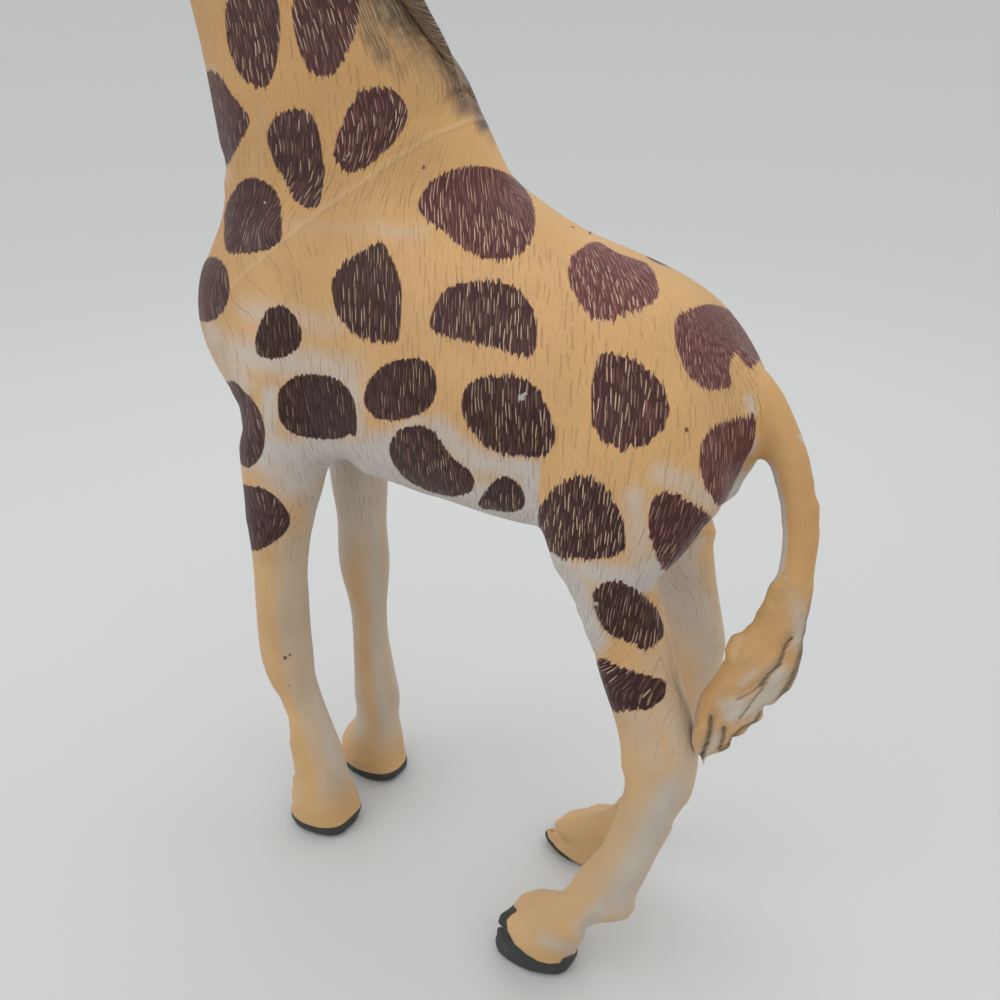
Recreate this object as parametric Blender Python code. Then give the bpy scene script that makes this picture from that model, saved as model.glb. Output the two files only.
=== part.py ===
# Standing giraffe figure in moulded vinyl, facing -X, with its left side towards -Y.
# The body, neck, head and legs are sculpted as one skin and then parted on the planes
# where the mouldings meet. Every moulding plugs into its neighbour with a round peg.

import math

import bmesh
import bpy
from mathutils import Matrix, Vector

mm = 0.001

# Trunk
body_length = 125 * mm
belly_height = 108 * mm
body_depth = 54 * mm
body_width = 47 * mm
chest_overhang = 25 * mm
rump_overhang = 32 * mm
flank_lead = 13.18 * mm

# Neck and head. The neck's root reaches from the withers to the chest.
neck_rise = 107 * mm
neck_reach = 0.496 * body_length
neck_width = 34 * mm
poll_rise = 124 * mm
poll_reach = 22 * mm
head_length = 50 * mm
head_depth = 23 * mm
head_width = 20 * mm
head_pitch = math.radians(36)

# Legs. They leave the trunk on level seams a little below the belly line.
fore_seam_drop = 8 * mm
hind_seam_drop = 2 * mm
fore_leg_height = belly_height - fore_seam_drop
hind_leg_height = belly_height - hind_seam_drop
wheelbase = body_length - chest_overhang - rump_overhang
fore_stance = 0.4766 * body_width
hind_left_out = 0.3043 * body_width
hind_right_out = 0.383 * body_width
right_hoof_lead = 4 * mm
right_haunch_lead = 6 * mm
hock_sweep = 26.5 * mm
leg_thickness = 14 * mm

# Feet
fore_hoof_length = 18 * mm
hind_hoof_length = 20 * mm
hoof_width = 15 * mm
left_sole_back = 0.8 * mm
right_sole_lead = 0.4 * mm
sole_out = 0.2 * mm
sole_thickness = 3.5 * mm
sole_lip = 0.9 * mm
claw_splay = math.radians(9)

# Tail
tail_drop = 78 * mm
tail_sweep = 15 * mm
tail_swing = 13.5 * mm
tail_thickness = 6.4 * mm
tail_peg_radius = 1.3 * mm
tail_peg_length = 4 * mm

# Mane
mane_height = 5.6 * mm
mane_width = 3.6 * mm
mane_root = 2 * mm

# Features of the head
ear_length = 15 * mm
ear_width = 6.5 * mm
ear_thickness = 2.2 * mm
horn_length = 15 * mm
horn_knob_radius = 2.6 * mm
eye_radius = 2.6 * mm
brow_radius = 4.4 * mm

# Plugs between mouldings
leg_peg_radius = 2.6 * mm
leg_peg_length = 9 * mm
neck_peg_radius = 8 * mm
neck_peg_length = 12 * mm
head_peg_radius = 3.6 * mm
head_peg_length = 8 * mm
peg_root = 3 * mm
peg_end_gap = 0.3 * mm

# Fits and fineness of the sculpted skin
seam_gap = 0.3 * mm
skin_voxel = 1.7 * mm
overrun = 60 * mm

smoothing_steps = 7
kept_share = 0.125
ring_sides = 24
tail_sides = 16
trim_sides = 10
spline_steps = 4

# Rows run from chest to rump: along the body, low edge, high edge, half width, fullness.
# Lengths are shares of body_length, body_depth above the belly, and body_width.
trunk_shares = [
    (0.000, 0.42, 0.56, 0.10, 0.50),
    (0.032, 0.26, 0.76, 0.24, 0.48),
    (0.096, 0.12, 1.00, 0.345, 0.46),
    (0.184, 0.00, 1.16, 0.42, 0.44),
    (0.296, -0.03, 1.26, 0.45, 0.42),
    (0.424, 0.00, 1.27, 0.47, 0.42),
    (0.552, 0.00, 1.185, 0.49, 0.43),
    (0.680, 0.01, 1.045, 0.50, 0.44),
    (0.800, 0.05, 0.98, 0.48, 0.48),
    (0.896, 0.13, 0.895, 0.42, 0.50),
    (0.968, 0.28, 0.72, 0.30, 0.50),
    (1.000, 0.42, 0.60, 0.13, 0.50),
]

# Rows run up the neck: throat point (reach, rise), nape point (reach, rise), half width.
# Points are shares of neck_reach forward of the withers and neck_rise above them.
neck_shares = [
    (0.94, -0.41, -0.125, -0.05, 0.47),
    (0.98, -0.28, -0.065, 0.015, 0.48),
    (0.99, -0.14, 0.007, 0.085, 0.48),
    (1.00, 0.01, 0.10, 0.151, 0.45),
    (1.03, 0.16, 0.24, 0.22, 0.41),
    (1.08, 0.31, 0.40, 0.33, 0.365),
    (1.13, 0.45, 0.556, 0.465, 0.33),
    (1.165, 0.59, 0.70, 0.63, 0.30),
    (1.175, 0.71, 0.81, 0.77, 0.275),
    (1.145, 0.80, 0.89, 0.88, 0.26),
    (1.08, 0.88, 0.95, 0.95, 0.24),
]

# Places on the neck's skin: where its lower seam meets the chest and the withers, the middle
# of that seam, and where the head's seam meets the throat and the nape.
chest_shares = (1.113, -0.387)
withers_shares = (-0.032, 0.103)
neck_seam_shares = (0.54, -0.142)
throat_shares = (1.20, 0.72)
nape_shares = (0.86, 0.90)

# Rows run from poll to lips: along the head, low edge, high edge, half width, fullness.
head_shares = [
    (-0.10, -0.52, 0.10, 0.30, 0.50),
    (0.02, -0.68, 0.26, 0.41, 0.50),
    (0.14, -0.72, 0.37, 0.47, 0.55),
    (0.30, -0.70, 0.35, 0.47, 0.60),
    (0.46, -0.61, 0.24, 0.38, 0.56),
    (0.62, -0.51, 0.14, 0.32, 0.52),
    (0.78, -0.46, 0.09, 0.31, 0.48),
    (0.90, -0.46, 0.05, 0.33, 0.46),
    (0.98, -0.42, -0.05, 0.28, 0.48),
    (1.03, -0.33, -0.15, 0.14, 0.50),
]

# Rows run up a leg from the sole: height, lean, half depth, half width.
# Heights are shares of the leg's height, the rest of leg_thickness.
fore_left_shares = [
    (0.040, -0.10, 0.78, 0.60),
    (0.075, -0.05, 0.66, 0.56),
    (0.115, 0.02, 0.53, 0.48),
    (0.155, 0.10, 0.46, 0.43),
    (0.205, 0.07, 0.50, 0.45),
    (0.265, -0.03, 0.45, 0.42),
    (0.340, -0.20, 0.39, 0.37),
    (0.420, -0.38, 0.41, 0.385),
    (0.500, -0.49, 0.51, 0.46),
    (0.580, -0.48, 0.50, 0.455),
    (0.660, -0.44, 0.46, 0.43),
    (0.760, -0.39, 0.48, 0.44),
    (0.870, -0.30, 0.55, 0.48),
    (0.970, -0.17, 0.66, 0.53),
]
fore_right_shares = [
    (0.040, -0.14, 0.78, 0.60),
    (0.075, -0.10, 0.68, 0.57),
    (0.130, 0.02, 0.55, 0.50),
    (0.190, 0.08, 0.43, 0.41),
    (0.270, 0.10, 0.48, 0.44),
    (0.350, 0.07, 0.39, 0.37),
    (0.450, 0.05, 0.355, 0.345),
    (0.560, 0.05, 0.37, 0.355),
    (0.660, 0.04, 0.46, 0.42),
    (0.730, 0.03, 0.48, 0.44),
    (0.810, 0.05, 0.46, 0.43),
    (0.890, 0.06, 0.50, 0.46),
    (0.970, 0.05, 0.58, 0.50),
]

# Shoulder rows: height above the belly, distance behind the fore hoof, half depth, half width,
# and distance out from the middle. Shares of body_depth, body_length, and body_width.
shoulder_shares = [
    (0.00, 0.008, 0.088, 0.180, 0.255),
    (0.26, 0.048, 0.118, 0.190, 0.285),
    (0.56, 0.088, 0.130, 0.195, 0.290),
    (0.88, 0.140, 0.115, 0.180, 0.255),
    (1.18, 0.190, 0.080, 0.120, 0.180),
]

# Hind rows: height, distance behind the hoof, half depth, half width. Heights are shares of
# hind_leg_height, distances of hock_sweep, and the rest of leg_thickness.
hind_left_shares = [
    (0.037, -0.02, 0.72, 0.56),
    (0.070, 0.06, 0.66, 0.54),
    (0.120, 0.19, 0.56, 0.50),
    (0.200, 0.41, 0.50, 0.46),
    (0.290, 0.62, 0.48, 0.45),
    (0.395, 0.78, 0.41, 0.40),
    (0.515, 0.90, 0.42, 0.40),
    (0.600, 0.985, 0.47, 0.42),
    (0.680, 1.00, 0.53, 0.43),
    (0.760, 0.94, 0.52, 0.44),
    (0.850, 0.79, 0.51, 0.48),
    (0.960, 0.64, 0.50, 0.54),
]
hind_right_shares = [
    (0.037, -0.05, 0.66, 0.50),
    (0.070, 0.04, 0.60, 0.47),
    (0.120, 0.15, 0.50, 0.43),
    (0.180, 0.38, 0.47, 0.43),
    (0.290, 0.60, 0.47, 0.44),
    (0.395, 0.68, 0.41, 0.40),
    (0.515, 0.76, 0.42, 0.40),
    (0.600, 0.81, 0.47, 0.42),
    (0.680, 0.82, 0.52, 0.43),
    (0.760, 0.74, 0.52, 0.44),
    (0.850, 0.62, 0.55, 0.48),
    (0.960, 0.49, 0.64, 0.55),
]

# Haunch rows, as the shoulder's but measured forward of the rump.
haunch_shares = [
    (0.04, 0.150, 0.073, 0.175, 0.330),
    (0.22, 0.148, 0.110, 0.200, 0.325),
    (0.44, 0.136, 0.134, 0.205, 0.310),
    (0.62, 0.130, 0.112, 0.170, 0.260),
    (0.76, 0.124, 0.070, 0.100, 0.190),
]

# Tail rows: drop from the root, sweep behind the rump, swing to the left, half depth, half
# width. The first three are shares of tail_drop, tail_sweep and tail_swing, the last two of
# tail_thickness. The dock runs down to the tuft, which fans out and closes to a point.
tail_shares = [
    (0.013, -0.467, 0.00, 0.44, 0.44),
    (0.060, -0.127, 0.02, 0.50, 0.50),
    (0.103, 0.100, 0.06, 0.50, 0.50),
    (0.170, 0.327, 0.12, 0.53, 0.50),
    (0.218, 0.460, 0.18, 0.54, 0.50),
    (0.270, 0.593, 0.27, 0.50, 0.48),
    (0.342, 0.693, 0.38, 0.46, 0.45),
    (0.414, 0.740, 0.47, 0.46, 0.44),
    (0.487, 0.747, 0.57, 0.53, 0.46),
    (0.564, 0.707, 0.66, 0.70, 0.53),
    (0.630, 0.653, 0.73, 0.90, 0.58),
    (0.705, 0.507, 0.80, 0.97, 0.56),
    (0.785, 0.300, 0.87, 0.88, 0.49),
    (0.860, 0.133, 0.92, 0.60, 0.39),
    (0.935, 0.080, 0.96, 0.29, 0.25),
    (0.980, 0.080, 0.98, 0.13, 0.13),
]

# Rows run to the ear's tip and the horn's knob: length along it, and width or radius.
# Shares of ear_length and ear_width, and of horn_length and horn_knob_radius.
ear_shares = [
    (-0.16, 0.34),
    (0.00, 0.42),
    (0.20, 0.74),
    (0.45, 1.00),
    (0.70, 0.82),
    (0.88, 0.48),
    (1.00, 0.10),
]
horn_shares = [
    (0.00, 0.92),
    (0.30, 0.80),
    (0.60, 0.67),
    (0.74, 0.70),
    (0.84, 0.88),
    (0.93, 1.00),
    (0.975, 0.80),
    (1.00, 0.40),
]

# Paint
vinyl_yellow = (0.62, 0.43, 0.20, 1)
vinyl_cream = (0.66, 0.58, 0.45, 1)
spot_brown = (0.075, 0.032, 0.026, 1)
mane_brown = (0.16, 0.11, 0.07, 1)
hoof_black = (0.025, 0.026, 0.024, 1)
eye_black = (0.008, 0.006, 0.005, 1)
satin = 0.48
matt = 0.6
wet = 0.12

# Places that several mouldings share
side_left = -1
side_right = 1
withers = Vector((-chest_overhang + 0.552 * body_length, 0, belly_height + 1.17 * body_depth))
poll = Vector((withers.x - poll_reach - neck_reach * 0.72, 0, withers.z + poll_rise * 0.91))
rump_x = body_length - chest_overhang
thigh_x = wheelbase + 0.62 * hock_sweep
flank_x = thigh_x - flank_lead
tail_root_z = belly_height + 0.76 * body_depth


def clear_scene():
    for thing in list(bpy.data.objects):
        bpy.data.objects.remove(thing, do_unlink=True)


def finish_material(name, colour, roughness):
    material = bpy.data.materials.new(name)
    material.use_nodes = True
    shader = material.node_tree.nodes["Principled BSDF"]
    shader.inputs["Base Color"].default_value = colour
    shader.inputs["Roughness"].default_value = roughness
    shader.inputs["Metallic"].default_value = 0
    return material


def add_object(name, mesh, material=None):
    thing = bpy.data.objects.new(name, mesh)
    bpy.context.scene.collection.objects.link(thing)
    if material:
        mesh.materials.clear()
        mesh.materials.append(material)
    return thing


def mesh_from(name, builder):
    """Runs builder on an empty bmesh and returns the closed mesh, its faces pointing out."""
    working = bmesh.new()
    builder(working)
    bmesh.ops.recalc_face_normals(working, faces=working.faces)
    mesh = bpy.data.meshes.new(name)
    working.to_mesh(mesh)
    working.free()
    return mesh


def spline_rows(rows, steps=spline_steps):
    """Reads a smooth curve through the rows of a table, column by column."""
    smooth = []
    last = len(rows) - 1
    for index in range(last):
        before, start = rows[max(index - 1, 0)], rows[index]
        end, after = rows[index + 1], rows[min(index + 2, last)]
        for step in range(steps):
            t = step / steps
            smooth.append(tuple(
                b + 0.5 * t * (c - a + t * (2 * a - 5 * b + 4 * c - d + t * (3 * (b - c) + d - a)))
                for a, b, c, d in zip(before, start, end, after)))
    smooth.append(tuple(rows[last]))
    return smooth


def oval_ring(low, high, half_width, fullness=0.5, sides=ring_sides):
    """Points round an oval whose profile runs from low to high, widest at the fullness share."""
    lean = math.log(fullness) / math.log(0.5)
    across = Vector((0, half_width, 0))
    points = []
    for side in range(sides):
        angle = math.tau * side / sides
        climb = ((1 - math.cos(angle)) / 2) ** lean
        points.append(low.lerp(high, climb) + across * math.sin(angle))
    return points


def turned_ring(centre, direction, half_depth, half_width, sides=ring_sides):
    """An oval square to direction, its width along Y."""
    depth_way = direction.cross(Vector((0, 1, 0))).normalized()
    side_way = depth_way.cross(direction).normalized()
    points = []
    for side in range(sides):
        angle = math.tau * side / sides
        points.append(centre + depth_way * half_depth * math.cos(angle)
                      + side_way * half_width * math.sin(angle))
    return points


def skin_over(name, rings):
    """Closes a skin over a run of rings that have equal counts of points."""
    def build(working):
        loops = [[working.verts.new(point) for point in ring] for ring in rings]
        for near, far in zip(loops, loops[1:]):
            for index in range(len(near)):
                following = (index + 1) % len(near)
                working.faces.new((near[index], near[following], far[following], far[index]))
        working.faces.new(loops[0])
        working.faces.new(loops[-1])
    return mesh_from(name, build)


def path_skin(name, rows, sides=ring_sides, steps=spline_steps):
    """A skin along rows of x, y, z, half depth and half width, square to the path."""
    smooth = spline_rows(rows, steps)
    places = [Vector(row[:3]) for row in smooth]
    rings = []
    for index, row in enumerate(smooth):
        ahead = places[min(index + 1, len(places) - 1)]
        behind = places[max(index - 1, 0)]
        way = (ahead - behind).normalized()
        rings.append(turned_ring(places[index], way, row[3], row[4], sides))
    return skin_over(name, rings)


def evaluated(thing):
    """The object's mesh with its modifiers applied, as the viewport shows it."""
    bpy.context.view_layer.update()
    graph = bpy.context.evaluated_depsgraph_get()
    return bpy.data.meshes.new_from_object(thing.evaluated_get(graph))


def settle(thing):
    """Applies the object's modifiers."""
    mesh = evaluated(thing)
    thing.modifiers.clear()
    old = thing.data
    thing.data = mesh
    bpy.data.meshes.remove(old)


def combine(thing, tool, operation):
    """Cuts or joins the object with a closed tool, and takes the tool away."""
    modifier = thing.modifiers.new(operation.lower(), "BOOLEAN")
    modifier.operation = operation
    modifier.solver = "EXACT"
    modifier.object = tool
    settle(thing)
    discard(tool)


def discard(thing):
    mesh = thing.data
    bpy.data.objects.remove(thing, do_unlink=True)
    if mesh.users == 0:
        bpy.data.meshes.remove(mesh)


def copy_of(thing, name):
    return add_object(name, thing.data.copy())


def grown_copy(thing, clearance=seam_gap):
    """A copy swollen by the clearance, for cutting a seat."""
    grown = copy_of(thing, thing.name + "_grown")
    swell = grown.modifiers.new("swell", "DISPLACE")
    swell.direction = "NORMAL"
    swell.mid_level = 0
    swell.strength = clearance
    settle(grown)
    return grown


def block(name, low, high):
    """A box between two corners."""
    def build(working):
        bmesh.ops.create_cube(working, size=1)
        middle = (low + high) / 2
        size = high - low
        for vertex in working.verts:
            vertex.co = Vector(c * s for c, s in zip(vertex.co, size)) + middle
    return add_object(name, mesh_from(name, build))


def half_space(name, point, normal):
    """A block that fills the side of a plane that its normal points to."""
    reach = 2 * (body_length + neck_rise + overrun)
    def build(working):
        bmesh.ops.create_cube(working, size=1)
        turn = normal.to_track_quat("Z", "Y").to_matrix().to_4x4()
        raise_half = Matrix.Translation((0, 0, reach / 2))
        grow = Matrix.Diagonal((reach, reach, reach, 1))
        bmesh.ops.transform(working, matrix=Matrix.Translation(point) @ turn @ raise_half @ grow,
                            verts=working.verts)
    return add_object(name, mesh_from(name, build))


def rod(name, start, direction, length, radius, sides=ring_sides):
    """A round rod from start along direction."""
    def build(working):
        turn = direction.to_track_quat("Z", "Y").to_matrix().to_4x4()
        place = Matrix.Translation(start + direction * length / 2) @ turn
        bmesh.ops.create_cone(working, cap_ends=True, segments=sides, radius1=radius,
                              radius2=radius, depth=length, matrix=place)
    return add_object(name, mesh_from(name, build))


def ball(name, centre, radius, segments):
    def build(working):
        bmesh.ops.create_uvsphere(working, u_segments=segments, v_segments=segments // 2,
                                  radius=radius, matrix=Matrix.Translation(centre))
    return mesh_from(name, build)


def body_x(share):
    return share * body_length - chest_overhang


def body_z(share):
    return belly_height + share * body_depth


def trunk_skin():
    rings = []
    for along, low, high, half_width, fullness in spline_rows(trunk_shares):
        rings.append(oval_ring(Vector((body_x(along), 0, body_z(low))),
                               Vector((body_x(along), 0, body_z(high))),
                               half_width * body_width, fullness))
    return skin_over("trunk", rings)


def neck_point(reach, rise):
    return Vector((withers.x - reach * neck_reach, 0, withers.z + rise * neck_rise))


def neck_skin():
    rings = []
    for throat_reach, throat_rise, nape_reach, nape_rise, half_width in spline_rows(neck_shares):
        rings.append(oval_ring(neck_point(throat_reach, throat_rise),
                               neck_point(nape_reach, nape_rise), half_width * neck_width))
    return skin_over("neck_core", rings)


def head_point(along, up, side=0):
    """A place on the head: along it from poll to lips, up from its axis, and to one side."""
    forward = Vector((-math.cos(head_pitch), 0, -math.sin(head_pitch)))
    crown = Vector((-math.sin(head_pitch), 0, math.cos(head_pitch)))
    return (poll + forward * along * head_length + crown * up * head_depth
            + Vector((0, side * head_width, 0)))


def head_skin():
    rings = []
    for along, low, high, half_width, fullness in spline_rows(head_shares):
        rings.append(oval_ring(head_point(along, low), head_point(along, high),
                               half_width * head_width, fullness))
    return skin_over("head_core", rings)


def fore_leg_rows(shares, side):
    rows = []
    for height, lean, half_depth, half_width in shares:
        rows.append((lean * leg_thickness, side * fore_stance / 2, height * fore_leg_height,
                     half_depth * leg_thickness, half_width * leg_thickness))
    for rise, back, half_depth, half_width, out in shoulder_shares:
        rows.append((back * body_length, side * out * body_width, body_z(rise),
                     half_depth * body_length, half_width * body_width))
    return rows


def hind_leg_rows(shares, side, out, hoof_lead, haunch_lead):
    rows = []
    for height, back, half_depth, half_width in shares:
        rows.append((wheelbase - hoof_lead + back * hock_sweep, side * out,
                     height * hind_leg_height, half_depth * leg_thickness,
                     half_width * leg_thickness))
    for rise, ahead, half_depth, half_width, middle in haunch_shares:
        rows.append((rump_x - ahead * body_length - haunch_lead * (1 - rise),
                     side * middle * body_width, body_z(rise), half_depth * body_length,
                     half_width * body_width))
    return rows


def sculpted_skin():
    """The whole animal as one closed skin, blended where its masses meet."""
    masses = [
        trunk_skin(),
        neck_skin(),
        head_skin(),
        path_skin("fore_left", fore_leg_rows(fore_left_shares, side_left)),
        path_skin("fore_right", fore_leg_rows(fore_right_shares, side_right)),
        path_skin("hind_left", hind_leg_rows(hind_left_shares, side_left, hind_left_out, 0, 0)),
        path_skin("hind_right", hind_leg_rows(hind_right_shares, side_right, hind_right_out,
                                              right_hoof_lead, right_haunch_lead)),
    ]
    for side in (side_left, side_right):
        masses.append(ball("brow", head_point(0.28, 0.16, side * 0.36), brow_radius, ring_sides))
    joined = bmesh.new()
    for mass in masses:
        joined.from_mesh(mass)
    mesh = bpy.data.meshes.new("sculpt")
    joined.to_mesh(mesh)
    joined.free()
    sculpt = add_object("sculpt", mesh)
    voxels = sculpt.modifiers.new("voxels", "REMESH")
    voxels.mode = "VOXEL"
    voxels.voxel_size = skin_voxel
    relax = sculpt.modifiers.new("relax", "SMOOTH")
    relax.factor = 0.5
    relax.iterations = smoothing_steps
    thin = sculpt.modifiers.new("thin", "DECIMATE")
    thin.ratio = kept_share
    settle(sculpt)
    return sculpt


def part_between(sculpt, name, planes, boxes=()):
    """The stretch of the sculpt that lies in every box and behind every plane."""
    piece = copy_of(sculpt, name)
    for point, normal in planes:
        combine(piece, half_space("cutter", point, normal), "DIFFERENCE")
    for low, high in boxes:
        combine(piece, block("keeper", low, high), "INTERSECT")
    return piece


def add_plug(piece, socketed, start, direction, length, radius):
    """Gives piece a peg that points along direction and socketed the hole for it."""
    root = start - direction * peg_root
    combine(piece, rod("peg", root, direction, length + peg_root, radius), "UNION")
    combine(socketed, rod("hole", root, direction, length + peg_root + peg_end_gap,
                          radius + seam_gap), "DIFFERENCE")


def hoof_sole(name, centre, length, material):
    """A black sole with two claws that part at the toe."""
    count = 36
    claw_length = length / 2
    claw_width = hoof_width * 0.32
    claw_offset = hoof_width * 0.19

    def edge_radius(angle):
        reaches = []
        for side in (side_left, side_right):
            turn = angle + side * claw_splay
            middle = Vector((0, side * claw_offset))
            middle.rotate(Matrix.Rotation(side * claw_splay, 2))
            way = Vector((math.cos(turn), math.sin(turn)))
            # the far crossing of a ray from the foot's centre with the claw's ellipse
            a = (way.x / claw_length) ** 2 + (way.y / claw_width) ** 2
            b = way.x * middle.x / claw_length ** 2 + way.y * middle.y / claw_width ** 2
            c = (middle.x / claw_length) ** 2 + (middle.y / claw_width) ** 2 - 1
            reaches.append((b + math.sqrt(max(b * b - a * c, 0))) / a)
        return max(reaches)

    def build(working):
        outline = []
        for index in range(count):
            angle = math.tau * index / count
            reach = edge_radius(angle)
            outline.append((reach * math.cos(angle), reach * math.sin(angle)))
        inset = 1 - 2 * sole_lip / length
        levels = [(0, inset), (sole_lip, 1), (sole_thickness - sole_lip, 1), (sole_thickness, inset)]
        loops = []
        for level, spread in levels:
            loops.append([working.verts.new((centre.x + x * spread, centre.y + y * spread, level))
                          for x, y in outline])
        for near, far in zip(loops, loops[1:]):
            for index in range(count):
                following = (index + 1) % count
                working.faces.new((near[index], near[following], far[following], far[index]))
        working.faces.new(loops[0])
        working.faces.new(loops[-1])
    return add_object(name, mesh_from(name, build), material)


def tail_rows():
    rows = []
    for drop, sweep, swing, half_depth, half_width in tail_shares:
        rows.append((rump_x + sweep * tail_sweep, side_left * swing * tail_swing,
                     tail_root_z - drop * tail_drop, half_depth * tail_thickness,
                     half_width * tail_thickness))
    return rows


def mane_strip(material):
    """A crest that stands along the nape, its root just inside the neck."""
    rings = []
    rows = spline_rows(neck_shares, 3)[9:-5]
    last = len(rows) - 1
    places = [(neck_point(row[0], row[1]), neck_point(row[2], row[3])) for row in rows]
    for index, (throat, nape) in enumerate(places):
        out = (nape - throat).normalized()
        swell = min(1, 0.46 + 0.27 * index, 0.55 + 0.20 * (last - index))
        rings.append(oval_ring(nape - out * mane_root, nape + out * mane_height * swell,
                               mane_width / 2 * (0.6 + 0.4 * swell), sides=trim_sides))
    return add_object("mane", skin_over("mane", rings), material)


def ear(name, side, material):
    """A leaf-shaped ear that stands out and back from behind the horn."""
    root = head_point(0.01, 0.06, side * 0.30)
    tip_way = Vector((0.34, side * 0.88, 0.34)).normalized()
    flat_way = tip_way.cross(Vector((-1, 0, 0.25))).normalized()
    thick_way = flat_way.cross(tip_way).normalized()
    rings = []
    for along, spread in spline_rows(ear_shares, 2):
        middle = root + tip_way * along * ear_length
        ring = []
        for step in range(trim_sides):
            angle = math.tau * step / trim_sides
            ring.append(middle + flat_way * math.cos(angle) * spread * ear_width / 2
                        + thick_way * math.sin(angle) * (0.55 + 0.45 * spread) * ear_thickness / 2)
        rings.append(ring)
    return add_object(name, skin_over(name, rings), material)


def horn(name, side, material):
    """A short horn with a rounded knob."""
    root = head_point(0.12, 0.20, side * 0.19)
    way = Vector((0.16, side * 0.16, 1)).normalized()
    rings = []
    for along, spread in horn_shares:
        radius = spread * horn_knob_radius
        rings.append(turned_ring(root + way * along * horn_length, way, radius, radius, trim_sides))
    return add_object(name, skin_over(name, rings), material)


def eye(name, side, material):
    eyeball = ball(name, head_point(0.29, 0.17, side * 0.46), eye_radius, segments=12)
    return add_object(name, eyeball, material)


def centre_over_origin(things):
    """Moves every piece alike, so that the figure's box stands on the origin's middle."""
    corners = [vertex.co for thing in things for vertex in thing.data.vertices]
    middle_x = (min(c.x for c in corners) + max(c.x for c in corners)) / 2
    middle_y = (min(c.y for c in corners) + max(c.y for c in corners)) / 2
    floor = min(c.z for c in corners)
    shift = Matrix.Translation((-middle_x, -middle_y, -floor))
    for thing in things:
        thing.data.transform(shift)


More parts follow.
